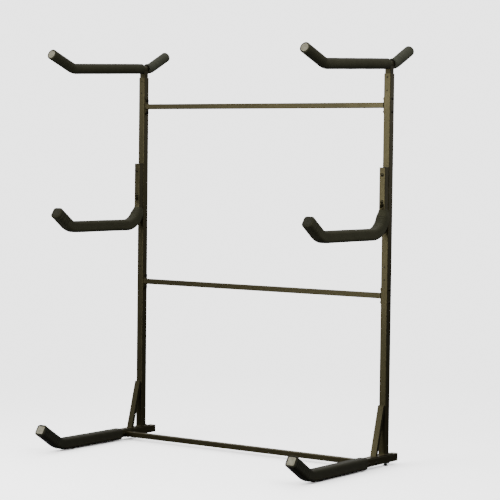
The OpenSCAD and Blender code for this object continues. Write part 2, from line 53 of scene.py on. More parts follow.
COAT_DUST = (0.13, 0.12, 0.09)
COAT_SHINE_TINT = (1.0, 0.87, 0.44, 1.0)
COAT_SHINE = 0.88
# A less shiny copy of the coat: painted shade for the braces and stubs.
SHADED_COAT_SHINE = 0.45
NOISE_SPREAD = (0.3, 0.7)
SCUFF_STRETCH = (900.0, 70.0, 240.0)
SCUFF_LINES = (0.66, 0.74)
SCUFF_PATCHES = (0.52, 0.66)
DUST_FACING = (0.45, 1.0)
STEEL_NODES = [
    f"{side}_{piece}" for side in ("left", "right") for piece in (
        "base_tube", "foot_plate", "brace", "lower_upright", "coupler", "upper_upright",
        "cradle_tube", "cradle_stub")
] + ["top_crossbar", "middle_crossbar", "bottom_crossbar", "crossbar_end_plates"]


def new_group(name, inputs, outputs):
    """A shader node group with named sockets: (name, type, default) in, (name, type) out."""
    group = bpy.data.node_groups.new(name, "ShaderNodeTree")
    for label, kind, default in inputs:
        socket = group.interface.new_socket(label, in_out="INPUT", socket_type=kind)
        if default is not None:
            socket.default_value = default
    for label, kind in outputs:
        group.interface.new_socket(label, in_out="OUTPUT", socket_type=kind)
    return group, group.nodes.new("NodeGroupInput"), group.nodes.new("NodeGroupOutput")


def add_noise(group, place, scale, detail):
    """A noise texture in a group, at a fixed scale or one that a socket gives."""
    noise = group.nodes.new("ShaderNodeTexNoise")
    noise.inputs["Detail"].default_value = detail
    group.links.new(place, noise.inputs["Vector"])
    if isinstance(scale, float):
        noise.inputs["Scale"].default_value = scale
    else:
        group.links.new(scale, noise.inputs["Scale"])
    return noise.outputs["Fac"]


def add_range(group, value, bottom, top):
    """Value mapped from bottom..top to 0..1."""
    mapped = group.nodes.new("ShaderNodeMapRange")
    mapped.inputs["From Min"].default_value = bottom
    mapped.inputs["From Max"].default_value = top
    group.links.new(value, mapped.inputs["Value"])
    return mapped.outputs["Result"]


def add_product(group, first, second):
    """One value times another."""
    product = group.nodes.new("ShaderNodeMath")
    product.operation = "MULTIPLY"
    group.links.new(first, product.inputs[0])
    group.links.new(second, product.inputs[1])
    return product.outputs["Value"]


def make_skin_group():
    """Fine grain and broad blotches of a surface: two noises of the point's own place."""
    group, given, result = new_group(
        "skin",
        [("Vector", "NodeSocketVector", None), ("Grain Scale", "NodeSocketFloat", 700.0),
         ("Blotch Scale", "NodeSocketFloat", 9.0)],
        [("Grain", "NodeSocketFloat"), ("Blotch", "NodeSocketFloat")])
    for label, detail in (("Grain", 3.0), ("Blotch", 4.0)):
        fac = add_noise(group, given.outputs["Vector"], given.outputs[f"{label} Scale"], detail)
        group.links.new(fac, result.inputs[label])
    return group


def make_scuff_group():
    """Sparse hairline scuffs: a stretched noise, kept only where a broad noise is high."""
    group, given, result = new_group(
        "scuffs", [("Vector", "NodeSocketVector", None), ("Amount", "NodeSocketFloat", 0.5)],
        [("Mask", "NodeSocketFloat")])
    stretch = group.nodes.new("ShaderNodeMapping")
    stretch.inputs["Scale"].default_value = SCUFF_STRETCH
    group.links.new(given.outputs["Vector"], stretch.inputs["Vector"])
    fine = add_noise(group, stretch.outputs["Vector"], scale=1.0, detail=1.0)
    lines = add_range(group, fine, *SCUFF_LINES)
    broad = add_noise(group, given.outputs["Vector"], scale=14.0, detail=2.0)
    patch = add_range(group, broad, *SCUFF_PATCHES)
    mask = add_product(group, add_product(group, lines, patch), given.outputs["Amount"])
    group.links.new(mask, result.inputs["Mask"])
    return group


def make_dust_group():
    """Dust that settles on faces that look up: the surface normal's Z, broken up by noise."""
    group, given, result = new_group(
        "settled_dust", [("Vector", "NodeSocketVector", None), ("Amount", "NodeSocketFloat", 0.3)],
        [("Mask", "NodeSocketFloat")])
    facing = group.nodes.new("ShaderNodeNewGeometry")
    split = group.nodes.new("ShaderNodeSeparateXYZ")
    group.links.new(facing.outputs["Normal"], split.inputs["Vector"])
    upward = add_range(group, split.outputs["Z"], *DUST_FACING)
    specks = add_noise(group, given.outputs["Vector"], scale=45.0, detail=5.0)
    cover = add_product(group, upward, specks)
    group.links.new(add_product(group, cover, given.outputs["Amount"]), result.inputs["Mask"])
    return group


skin_group = make_skin_group()
scuff_group = make_scuff_group()
dust_group = make_dust_group()


class Finish:
    """A material under construction: a Principled shader fed by Object coordinates."""

    def __init__(self, name, **sockets):
        self.material = bpy.data.materials.new(name)
        self.material.use_nodes = True
        tree = self.material.node_tree
        self.nodes, self.links = tree.nodes, tree.links
        self.shader = self.nodes["Principled BSDF"]
        self.place = self.nodes.new("ShaderNodeTexCoord").outputs["Object"]
        for label, value in sockets.items():
            self.shader.inputs[label.replace("_", " ")].default_value = value

    def texture(self, kind, **values):
        """A texture node of that kind on the object's own coordinates."""
        node = self.nodes.new(kind)
        self.links.new(self.place, node.inputs["Vector"])
        for label, value in values.items():
            node.inputs[label.replace("_", " ")].default_value = value
        return node

    def group(self, group, **values):
        """A shader group on the object's own coordinates."""
        node = self.nodes.new("ShaderNodeGroup")
        node.node_tree = group
        self.links.new(self.place, node.inputs["Vector"])
        for label, value in values.items():
            node.inputs[label.replace("_", " ")].default_value = value
        return node.outputs

    def span(self, value, low, high, bottom=0.0, top=1.0):
        """value, mapped from bottom..top to low..high."""
        node = self.nodes.new("ShaderNodeMapRange")
        for label, number in (("From Min", bottom), ("From Max", top), ("To Min", low),
                              ("To Max", high)):
            node.inputs[label].default_value = number
        self.links.new(value, node.inputs["Value"])
        return node.outputs["Result"]

    def blend(self, mask, first, second):
        """Colour that goes from first to second as mask goes from 0 to 1."""
        node = self.nodes.new("ShaderNodeMix")
        node.data_type = "RGBA"
        self.links.new(mask, node.inputs["Factor"])
        for socket, colour in ((node.inputs[6], first), (node.inputs[7], second)):
            if isinstance(colour, tuple):
                socket.default_value = (*colour, 1.0)
            else:
                self.links.new(colour, socket)
        return node.outputs[2]

    def bump(self, height, distance, strength=1.0, onto=None):
        """A bump of that depth in metres, over an earlier one if given."""
        node = self.nodes.new("ShaderNodeBump")
        node.inputs["Distance"].default_value = distance
        node.inputs["Strength"].default_value = strength
        self.links.new(height, node.inputs["Height"])
        if onto is not None:
            self.links.new(onto, node.inputs["Normal"])
        return node.outputs["Normal"]

    def done(self, colour=None, roughness=None, normal=None):
        """Feeds the shader and returns the material."""
        for label, socket in (("Base Color", colour), ("Roughness", roughness),
                              ("Normal", normal)):
            if socket is not None:
                self.links.new(socket, self.shader.inputs[label])
        return self.material


def powder_coat(name, shine):
    """Satin powder coat: orange-peel bump, blotchy gloss, faint scuffs and dust."""
    coat = Finish(name, Specular_IOR_Level=shine, Specular_Tint=COAT_SHINE_TINT)
    skin = coat.group(skin_group, Grain_Scale=620.0, Blotch_Scale=7.0)
    scuffs = coat.group(scuff_group, Amount=0.5)
    dust = coat.group(dust_group, Amount=0.45)
    tone = coat.blend(coat.span(skin["Blotch"], 0.0, 1.0, *NOISE_SPREAD), COAT_COLOUR, COAT_SHADE)
    colour = coat.blend(scuffs["Mask"], tone, COAT_WORN)
    colour = coat.blend(dust["Mask"], colour, COAT_DUST)
    return coat.done(colour, coat.span(skin["Blotch"], 0.33, 0.44, *NOISE_SPREAD),
                     coat.bump(skin["Grain"], distance=0.00022, strength=0.35))


def paint(node, material):
    """Gives a CAD node's object this material in each of its slots."""
    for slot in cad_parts[node].material_slots:
        slot.material = material


coat_material = powder_coat("powder_coat", COAT_SHINE)
shaded_coat_material = powder_coat("powder_coat_shaded", SHADED_COAT_SHINE)
for node in STEEL_NODES:
    # Braces and stubs take the less shiny copy of the coat, as painted shade.
    thin = node.endswith(("brace", "stub"))
    paint(node, shaded_coat_material if thin else coat_material)

# ---- Weld beads ------------------------------------------------------------------------------
# The tubes of an end frame, the crossbars' end plates and the cradles' stubs are joined by MIG
# fillet welds, run round each joint before coating: a rounded bead with a ripple every 2 mm.
BEAD_RADIUS = 0.0023
BEAD_RIPPLE = 0.0021
BEAD_STEP = 0.0007
BEAD_FLOOR = 0.93
BEAD_WANDER = 0.09
BEAD_SWELL = 0.11
BEAD_CURL = 0.8
BEAD_SIDES = 8
UPRIGHT_CORNER = 0.0035
BAR_CORNER = 0.0025
BRACE_RUN = 0.06595
BRACE_HEIGHT = 0.243
BRACE_DEPTH = 0.017
BRACE_LIP = 0.014
BRACE_CORNER = 0.001
CRADLE_TILT = math.radians(2.5)
CRADLE_RISE = 0.048
STUB_TOP_DROP = 0.0064
STUB_WELD_DROP = 0.008

plate_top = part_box("left_lower_upright")[0].z
upright_low, upright_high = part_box("left_upper_upright")
UPRIGHT_SIDE = upright_high.x - upright_low.x
UPRIGHT_Y = (upright_low.y + upright_high.y) / 2
UPRIGHT_FRONT = upright_low.y
UPRIGHT_TOP = upright_high.z
UPRIGHT_X = {"left": (upright_low.x + upright_high.x) / 2}
UPRIGHT_X["right"] = -UPRIGHT_X["left"]
CRADLE_Z = UPRIGHT_TOP + CRADLE_RISE


def grid_quads(rings, samples, closed=False):
    """Four-sided faces between neighbouring rings of a grid whose samples run round; the last
    ring joins the first if closed."""
    last = rings if closed else rings - 1
    ring, sample = np.meshgrid(np.arange(last), np.arange(samples), indexing="ij")
    below, beside = (ring + 1) % rings, (sample + 1) % samples
    return np.stack([ring * samples + sample, ring * samples + beside,
                     below * samples + beside, below * samples + sample], -1).reshape(-1, 4)


def pole_triangles(rings, samples):
    """Fans that close the first and last ring of a grid on two points that follow it."""
    sample = np.arange(samples)
    beside = (sample + 1) % samples
    first, last = rings * samples, rings * samples + 1
    start = np.stack([np.full(samples, first), beside, sample], 1)
    end_ring = (rings - 1) * samples
    end = np.stack([np.full(samples, last), end_ring + sample, end_ring + beside], 1)
    return np.vstack([start, end])


def outward(points, quads, triangles):
    """The same faces, all turned round if the volume that they close comes out negative."""
    volume = 0.0
    for faces, others in ((quads, ((1, 2), (2, 3))), (triangles, ((1, 2),))):
        for second, third in others:
            a, b, c = points[faces[:, 0]], points[faces[:, second]], points[faces[:, third]]
            volume += float(np.einsum("ij,ij->", a, np.cross(b, c)))
    if volume < 0:
        return quads[:, ::-1], triangles[:, ::-1]
    return quads, triangles


NO_TRIANGLES = np.zeros((0, 3), int)


def build(name, shells, materials, body, smooth_angle=40.0, groove=None):
    """Makes one mesh piece of closed shells, each (points, quads, triangles, material number of
    each face or None), and lets it ride on a body. Edges over smooth_angle stay crisp. groove
    is how deep in a fold each point lies, which the foam material turns into painted shade."""
    points, faces, finishes, offset = [], [], [], 0
    for corners, quads, triangles, finish in shells:
        quads, triangles = outward(corners, quads, triangles)
        points += corners.tolist()
        faces += (quads + offset).tolist() + (triangles + offset).tolist()
        count = len(quads) + len(triangles)
        finishes.append(np.zeros(count, int) if finish is None else finish)
        offset += len(corners)
    mesh = bpy.data.meshes.new(name)
    mesh.from_pydata(points, [], faces)
    for material in materials:
        mesh.materials.append(material)
    mesh.polygons.foreach_set("material_index", np.concatenate(finishes))
    if groove is not None:
        mesh.attributes.new("groove", "FLOAT", "POINT").data.foreach_set("value", groove)
    mesh.shade_smooth()
    mesh.set_sharp_from_angle(angle=math.radians(smooth_angle))
    piece = bpy.data.objects.new(name, mesh)
    bpy.context.scene.collection.objects.link(piece)
    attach(piece, body)
    return piece


def round_loop(width, height, corner):
    """Points every BEAD_STEP round a rectangle with round corners, about its centre."""
    flat_x, flat_y = width / 2 - corner, height / 2 - corner
    lengths = [2 * flat_y, corner * math.pi / 2, 2 * flat_x, corner * math.pi / 2] * 2
    edges = np.concatenate([[0.0], np.cumsum(lengths)])
    along = np.linspace(0, edges[-1], max(int(edges[-1] / BEAD_STEP), 24), endpoint=False)
    stretch = np.clip(np.searchsorted(edges, along, side="right") - 1, 0, 7)
    run = along - edges[stretch]
    quarter, on_arc = stretch // 2, stretch % 2 == 1
    turn = quarter * math.pi / 2 + np.where(on_arc, run / corner, 0.0)
    side = np.array([flat_y, flat_x, flat_y, flat_x])[quarter]
    ahead = np.where(on_arc, side, run - side)
    base = quarter * math.pi / 2
    core = np.array([flat_x, flat_y, flat_x, flat_y])[quarter]
    x = core * np.cos(base) - ahead * np.sin(base) + corner * np.cos(turn)
    y = core * np.sin(base) + ahead * np.cos(base) + corner * np.sin(turn)
    return np.stack([x, y], 1)


def bead(loop, middle, seed):
    """A weld bead along a closed loop of points: an eight-sided tube about it, whose radius
    swells and narrows with each ripple and wanders slowly."""
    rng = np.random.default_rng(seed)
    ahead = np.roll(loop, -1, 0) - np.roll(loop, 1, 0)
    step = np.linalg.norm(np.roll(loop, -1, 0) - loop, axis=1)
    along = np.concatenate([[0.0], np.cumsum(step)[:-1]])
    total = step.sum()
    ripples = round(total / BEAD_RIPPLE)
    tangent = ahead / np.linalg.norm(ahead, axis=1)[:, None]
    out = loop - middle
    out -= tangent * np.sum(out * tangent, 1)[:, None]
    out /= np.linalg.norm(out, axis=1)[:, None]
    up = np.cross(tangent, out)
    turn = np.linspace(0, 2 * math.pi, BEAD_SIDES, endpoint=False)
    phase = 2 * math.pi * ripples * along / total
    wander = np.sin(2 * math.pi * 3 * along / total + rng.uniform(0, 6))
    radius = BEAD_RADIUS * (
        BEAD_FLOOR + BEAD_WANDER * wander[:, None]
        + BEAD_SWELL * np.sin(phase[:, None] + BEAD_CURL * np.cos(turn)[None]))
    points = loop[:, None] + radius[..., None] * (
        np.cos(turn)[None, :, None] * out[:, None] + np.sin(turn)[None, :, None] * up[:, None])
    return points.reshape(-1, 3), grid_quads(len(loop), BEAD_SIDES, True), NO_TRIANGLES, None


def level_loop(width, depth, corner, centre):
    """A loop in a level plane about a centre."""
    flat = round_loop(width, depth, corner)
    return np.column_stack([flat, np.zeros(len(flat))]) + np.array(centre)


def saddle_loop(width, x):
    """A loop round the top of a cradle's stub: at each point it lies as high as the underside
    of the tilted round tube, or as the stub's side where that ends lower."""
    flat = round_loop(width, width, BAR_CORNER)
    radius = width / 2
    reach = np.minimum(np.abs(flat[:, 0]), math.sqrt(radius ** 2 - STUB_TOP_DROP ** 2))
    height = CRADLE_Z + flat[:, 1] * math.tan(CRADLE_TILT) - np.sqrt(radius ** 2 - reach ** 2)
    return np.column_stack([x + flat[:, 0], UPRIGHT_Y + flat[:, 1], height])


frame_beads = []
for side, x in UPRIGHT_X.items():
    centre = np.array([x, UPRIGHT_Y, plate_top])
    loop = level_loop(UPRIGHT_SIDE, UPRIGHT_SIDE, UPRIGHT_CORNER, centre)
    frame_beads.append(bead(loop, centre, len(frame_beads)))
    brace_low, brace_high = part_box(f"{side}_brace")
    slope = math.atan2(BRACE_RUN, BRACE_HEIGHT)
    foot_depth = BRACE_DEPTH / math.cos(slope)
    centre = np.array([x, brace_low.y + foot_depth / 2, plate_top])
    loop = level_loop(brace_high.x - brace_low.x, foot_depth, BRACE_CORNER, centre)
    frame_beads.append(bead(loop, centre, len(frame_beads)))
    joint_height = foot_depth / math.tan(slope) - BRACE_LIP / math.tan(slope)
    flat = round_loop(brace_high.x - brace_low.x, joint_height, BRACE_CORNER)
    centre = np.array([x, UPRIGHT_FRONT, brace_high.z - joint_height / 2])
    loop = centre + np.column_stack([flat[:, 0], np.zeros(len(flat)), flat[:, 1]])
    frame_beads.append(bead(loop, centre, len(frame_beads)))
    stub_low, stub_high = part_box(f"{side}_cradle_stub")
    loop = saddle_loop(stub_high.x - stub_low.x, x)
    centre = np.array([x, UPRIGHT_Y, CRADLE_Z - STUB_WELD_DROP])
    weld = bead(loop, centre, len(frame_beads))
    build(f"{side}_cradle_weld", [weld], [coat_material], f"{side}_cradle", 80.0)
for bar in ("top_crossbar", "middle_crossbar", "bottom_crossbar"):
    low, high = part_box(bar)
    for end in (low.x, high.x):
        centre = np.array([end, (low.y + high.y) / 2, (low.z + high.z) / 2])
        flat = round_loop(high.y - low.y, high.z - low.z, BAR_CORNER)
        loop = centre + np.column_stack([np.zeros(len(flat)), flat])
        frame_beads.append(bead(loop, centre, len(frame_beads)))
build("frame_welds", frame_beads, [coat_material], "frame", 80.0)

# ---- Middle arm tubes ------------------------------------------------------------------------
# Each middle arm is one square steel tube, bolted flat to the front of its upright. Cold bending
# has crushed a deep dimple into its front face, between the lower bolt and the start of the foam.
ARM_SIDE = 0.033
ARM_WALL = 0.002
ARM_CORNER = 0.0025
BEND_RADIUS = 0.110
ARM_TURNS = (math.pi / 2, math.radians(36.0))
ARM_REACH = 0.589
ARM_TIP = 0.121
ARM_DROP = 0.211
DIMPLE_ABOVE_BEND = 0.0165
DIMPLE_DEPTH = 0.0105
DIMPLE_WIDTH = 0.0088
DIMPLE_ABOVE = 0.0125
DIMPLE_BELOW = 0.0085
FINE_BEFORE_BEND = 0.055
FINE_PAST_BEND = 0.015
ARM_BORE_SHARPER = 0.0012


class BentPath:
    """A centreline in an end frame's upright plane: straight legs with an arc after each but the
    last. Points are (forward of the upright, height); a heading is an angle above forward."""

    def __init__(self, start, heading, legs, turns, radius):
        self.pieces = []
        self.radius, self.turns = radius, turns
        point, angle, along = np.array(start, float), heading, 0.0
        for index, leg in enumerate(legs):
            self.pieces.append((along, point, angle, 0.0))
            point = point + leg * np.array([math.cos(angle), math.sin(angle)])
            along += leg
            if index < len(turns):
                self.pieces.append((along, point, angle, 1.0 / radius))
                centre = point + radius * np.array([-math.sin(angle), math.cos(angle)])
                angle += turns[index]
                point = centre + radius * np.array([math.sin(angle), -math.cos(angle)])
                along += radius * turns[index]
        self.length = along

    def at(self, distance):
        """Points and headings at these distances along: on a leg the point moves straight on,
        on an arc it turns about a centre to the left of its heading."""
        points, angles = np.zeros((len(distance), 2)), np.zeros(len(distance))
        starts = np.array([piece[0] for piece in self.pieces])
        which = np.clip(np.searchsorted(starts, distance, side="right") - 1, 0, None)
        for index, (along, point, angle, curve) in enumerate(self.pieces):
            here = which == index
            run = distance[here] - along
            if curve == 0.0:
                points[here] = point + np.outer(run, [math.cos(angle), math.sin(angle)])
                angles[here] = angle
            else:
                turned = angle + run * curve
                centre = point + np.array([-math.sin(angle), math.cos(angle)]) / curve
                points[here] = centre + np.stack([np.sin(turned), -np.cos(turned)], 1) / curve
                angles[here] = turned
        return points, angles

    def bend(self, index):
        """(start, end) of an arc, as distances along."""
        arc = [k for k, piece in enumerate(self.pieces) if piece[3] > 0][index]
        return self.pieces[arc][0], self.pieces[arc + 1][0]


def square_section(per_corner, per_side):
    """Samples round a square with round corners: where the corner circle's centre sits in a
    unit square, and the outward direction from it. Corners turn, sides run straight."""
    cores, outs = [], []
    for quarter in range(4):
        middle = math.pi / 4 + quarter * math.pi / 2
        turn = np.linspace(-math.pi / 4, math.pi / 4, per_corner) + middle
        corner = np.array([math.cos(middle), math.sin(middle)]) * math.sqrt(2)
        cores.append(np.repeat(corner[None], per_corner, 0))
        outs.append(np.stack([np.cos(turn), np.sin(turn)], 1))
        following = np.array([-corner[1], corner[0]])
        share = np.linspace(0, 1, per_side + 2)[1:-1, None]
        cores.append(corner * (1 - share) + following * share)
        outs.append(np.repeat(outs[-1][-1:], per_side, 0))
    return np.vstack(cores), np.vstack(outs)


def round_section(count):
    """Samples round a circle: every centre in the middle, directions evenly spread."""
    turn = np.arange(count) * 2 * math.pi / count
    return np.zeros((count, 2)), np.stack([np.cos(turn), np.sin(turn)], 1)


def tube_surface(path, section, distance, half, corner, swell=None, behind=False):
    """Points of a tube: at each distance along the path lies a ring of the section, with that
    half width and corner radius, moved outwards by swell (rings x samples, in metres)."""
    cores, outs = section
    centre, heading = path.at(distance)
    flat = cores[None] * (half - corner)[:, None, None] + outs[None] * corner[:, None, None]
    if swell is not None:
        flat = flat + outs[None] * swell[:, :, None]
    forward = centre[:, :1] - np.sin(heading)[:, None] * flat[:, :, 1]
    height = centre[:, 1:] + np.cos(heading)[:, None] * flat[:, :, 1]
    sign = 1.0 if behind else -1.0
    return np.stack([flat[:, :, 0], UPRIGHT_Y + sign * forward, height], 2)


def place_across(points, side):
    """Moves points drawn about X = 0 to one end frame; the right one is a mirror image."""
    moved = points.reshape(-1, 3).copy()
    mirror = 1.0 if side == "left" else -1.0
    moved[:, 0] = UPRIGHT_X[side] + mirror * moved[:, 0]
    return moved


BEND_CUT = BEND_RADIUS * math.tan(ARM_TURNS[1] / 2)
ARM_FORWARD = (UPRIGHT_SIDE + ARM_SIDE) / 2
arm_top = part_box("left_arm_tube")[1].z
arm_path = BentPath(
    (ARM_FORWARD, arm_top), -math.pi / 2,
    (ARM_DROP, ARM_REACH - ARM_FORWARD - BEND_RADIUS - BEND_CUT, ARM_TIP - BEND_CUT),
    ARM_TURNS, BEND_RADIUS)


def arm_tube():
    """Outer skin down the path, round the end wall and back up inside: one closed tube, sampled
    finely near the dimple. That is a bell curve down and across, steeper below than above."""
    cores, outs = square_section(5, 13)
    bend_start = arm_path.bend(0)[0]
    outside = np.concatenate([
        np.linspace(0, bend_start - FINE_BEFORE_BEND, 12, endpoint=False),
        np.linspace(bend_start - FINE_BEFORE_BEND, bend_start + FINE_PAST_BEND, 70,
                    endpoint=False),
        np.linspace(bend_start + FINE_PAST_BEND, arm_path.length, 110)])
    distance = np.concatenate([outside, outside[::-1]])
    inner = np.arange(len(distance)) >= len(outside)
    half = np.where(inner, ARM_SIDE / 2 - ARM_WALL, ARM_SIDE / 2)
    corner = np.where(inner, ARM_CORNER - ARM_BORE_SHARPER, ARM_CORNER)
    across = cores[:, 0] * (ARM_SIDE / 2 - ARM_CORNER) + outs[:, 0] * ARM_CORNER
    above = (bend_start - DIMPLE_ABOVE_BEND) - distance
    length = np.where(above > 0, DIMPLE_ABOVE, DIMPLE_BELOW)
    bell = np.exp(-(above / length) ** 2)[:, None] * np.exp(-(across / DIMPLE_WIDTH) ** 4)[None]
    front = np.clip(outs[:, 1], 0, 1) ** 4
    points = tube_surface(arm_path, (cores, outs), distance, half, corner,
                          -DIMPLE_DEPTH * bell * front[None])
    return points, grid_quads(len(distance), len(cores), True)


for side in ("left", "right"):
    points, quads = arm_tube()
    piece = build(f"{side}_arm_tube_dimpled",
                  [(place_across(points, side), quads, NO_TRIANGLES, None)], [coat_material],
                  "frame")
    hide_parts(f"{side}_arm_tube")

# ---- Foam sleeves ----------------------------------------------------------------------------
# Closed-cell foam sleeves cushion the boats. They are pulled over the tubes by hand, so the skin
# folds inside each bend and gathers in rings on the raised ends, with painted shade in the folds.
# Open ends are cut, darker in their open cells and painted darker still as shade; the arm's front
# end and the cradle's rear end are moulded shut, and the arm's moulded end carries painted shade.
# The base sleeves are a darker copy of the foam: painted shade for the dimmer light near the
# floor.
FOAM_DARK = (0.065, 0.063, 0.031)
FOAM_MOTTLE = (0.084, 0.082, 0.044)
# The base sleeves: a darker copy of the dark foam, painted shade for the dimmer light near the
# floor.
FOAM_BASE_SHADED = (0.031, 0.0295, 0.0135)
FOAM_BASE_SHADED_MOTTLE = (0.042, 0.040, 0.021)
# The arms' moulded front ends: a darker foam, painted shade on their end faces.
FOAM_END_SHADED = (0.036, 0.035, 0.019)
FOAM_END_SHADED_MOTTLE = (0.055, 0.053, 0.032)
FOAM_LIGHT = (0.127, 0.133, 0.088)
FOAM_LIGHT_MOTTLE = (0.082, 0.085, 0.057)
# Cut foam: darker open cells, painted darker still as shade on the cut ends.
FOAM_CUT_AND_SHADE = (0.018, 0.018, 0.013)
FOAM_DUST = (0.15, 0.145, 0.115)
SLEEVE_GAP = 0.00015
LIP = 0.0025
BLIND_ROUND = 0.009
BLIND_CROWN = 0.0006
MOUTH_STEP = 0.00001
RING_STEP = 0.0016
LUMP = 0.0005
LUMP_WAVES = ((0.31, 1, 0.5), (0.17, 2, 0.3), (0.083, 3, 0.2), (0.047, 2, 0.12))
FULL_FOLD = 0.0009
FOLD_WIDTH = 0.21
FOLD_SHIFT = 0.22
FOLD_LEAN = 0.2
FOLD_REACH = (0.75, 1.2)
FOLD_DEPTH = (0.5, 1.0)
FOLD_FREE_START = 0.012
FOLD_FREE_END = 0.008
TAPER_LEAD = 0.01
PRESSED = 0.00006
PRESSED_BORE = 0.00002


def foam_finish(name, base, mottle, weave=0.0):
    """Closed-cell foam: a pitted skin of fine cells over soft, slow unevenness, almost matt. A
    weave adds faint diagonal threads, where two bands of waves cross."""
    foam = Finish(name, Specular_IOR_Level=0.3, Sheen_Weight=0.05, Sheen_Roughness=0.5)
    skin = foam.group(skin_group, Grain_Scale=420.0, Blotch_Scale=24.0)
    dust = foam.group(dust_group, Amount=0.35)
    cells = foam.texture("ShaderNodeTexVoronoi", Scale=620.0)
    tone = foam.blend(foam.span(skin["Blotch"], 0.0, 1.0, 0.38, 0.68), base, mottle)
    colour = foam.blend(foam.span(cells.outputs["Distance"], 0.0, 0.75, 0.1, 0.6), tone,
                        tuple(0.55 * part for part in base))
    # Painted shade in the folds: the colour darkens where a point lies deep in a fold.
    painted_fold_shade = foam.nodes.new("ShaderNodeAttribute")
    painted_fold_shade.attribute_name = "groove"
    colour = foam.blend(foam.span(painted_fold_shade.outputs["Fac"], 0.0, 0.85), colour,
                        tuple(0.22 * part for part in base))
    height = skin["Grain"]
    if weave > 0:
        threads = [foam.texture("ShaderNodeTexWave", Scale=scale, Distortion=1.2, Detail=1.0)
                   for scale in (150.0, 190.0)]
        threads[0].bands_direction = "DIAGONAL"
        threads[1].bands_direction = "Y"
        crossed = foam.blend(threads[0].outputs["Fac"], (0.0, 0.0, 0.0),
                             threads[1].outputs["Color"])
        colour = foam.blend(foam.span(crossed, 0.0, weave), colour, mottle)
        height = crossed
    colour = foam.blend(dust["Mask"], colour, FOAM_DUST)
    soft = foam.bump(skin["Blotch"], distance=0.0012, strength=0.5)
    return foam.done(colour, foam.span(skin["Grain"], 0.78, 0.92, *NOISE_SPREAD),
                     foam.bump(height, distance=0.0004, strength=0.5, onto=soft))


def cut_and_shade_finish():
    """The cut end of the foam: open cells, darker than the skin and painted darker still as shade,
    fully matt.
    """
    cut = Finish("foam_cut_and_shade", Specular_IOR_Level=0.1)
    cells = cut.texture("ShaderNodeTexVoronoi", Scale=480.0)
    colour = cut.blend(cut.span(cells.outputs["Distance"], 0.0, 1.0, 0.1, 0.7), FOAM_CUT_AND_SHADE,
                       tuple(0.4 * part for part in FOAM_CUT_AND_SHADE))
    return cut.done(colour, cut.span(cells.outputs["Distance"], 0.9, 1.0),
                    cut.bump(cells.outputs["Distance"], distance=0.0006, strength=0.8))


foam_dark = foam_finish("foam_dark", FOAM_DARK, FOAM_MOTTLE)
foam_base_shaded = foam_finish("foam_base_shaded", FOAM_BASE_SHADED, FOAM_BASE_SHADED_MOTTLE)
foam_end_shaded = foam_finish("foam_end_shaded", FOAM_END_SHADED, FOAM_END_SHADED_MOTTLE)
foam_light = foam_finish("foam_light", FOAM_LIGHT, FOAM_LIGHT_MOTTLE, weave=0.6)
foam_cut_and_shade = cut_and_shade_finish()


def rise(value, low, high):
    """0 below low, 1 above high, and a smooth S between."""
    share = np.clip((value - low) / (high - low), 0, 1)
    return share * share * (3 - 2 * share)


def unevenness(distance, turn, rng):
    """Slow lumps of a hand-fitted sleeve: a few sines of the place along and round it, each
    with its length, the lobes that it makes round the sleeve, and its share of LUMP."""
    total = np.zeros((len(distance), len(turn)))
    for length, lobes, size in LUMP_WAVES:
        phase = rng.uniform(0, 2 * math.pi, 2)
        total += size * np.outer(np.sin(2 * math.pi * distance / length + phase[0]),
                                 np.cos(lobes * turn + phase[1]))
    return LUMP * total


def folds(distance, turn, stretches, rng):
    """Folds across a sleeve: narrow grooves a pitch apart, deepest on the inner side of the bend,
    each with its own depth, lean and reach round the sleeve. A stretch is (start, end, pitch,
    depth, reach in radians)."""
    total = np.zeros((len(distance), len(turn)))
    for start, end, pitch, depth, reach in stretches:
        for index in range(int((end - start) / pitch)):
            middle = start + (index + 0.5 + rng.uniform(-FOLD_SHIFT, FOLD_SHIFT)) * pitch
            lean = rng.uniform(-FOLD_LEAN, FOLD_LEAN) * pitch
            where = middle + lean * np.sin(turn + rng.uniform(0, 6))
            groove = np.exp(-((distance[:, None] - where[None]) / (FOLD_WIDTH * pitch)) ** 2)
            span = reach * rng.uniform(*FOLD_REACH)
            deep = depth * rng.uniform(*FOLD_DEPTH)
            total -= deep * groove * np.exp(-(turn / span) ** 2)[None]
    return total


def crease(path, index, share, outer, distance, turn):
    """The skin inside a bend folds into one sharp corner: it sinks from the smooth arc towards
    the two straight lines that meet there, by (radius / cos of the angle to the bend's nearer
    end) - radius, all of it on the inner side and none on the flanks."""
    start, end = path.bend(index)
    half_turn = path.turns[index] / 2
    angle = np.clip(np.abs(distance - (start + end) / 2) / path.radius, 0, half_turn)
    depth = (path.radius - outer) * (1 / np.cos(half_turn - angle) - 1)
    return -share * depth[:, None] * (np.clip(np.cos(turn), 0, 1) ** 2)[None]


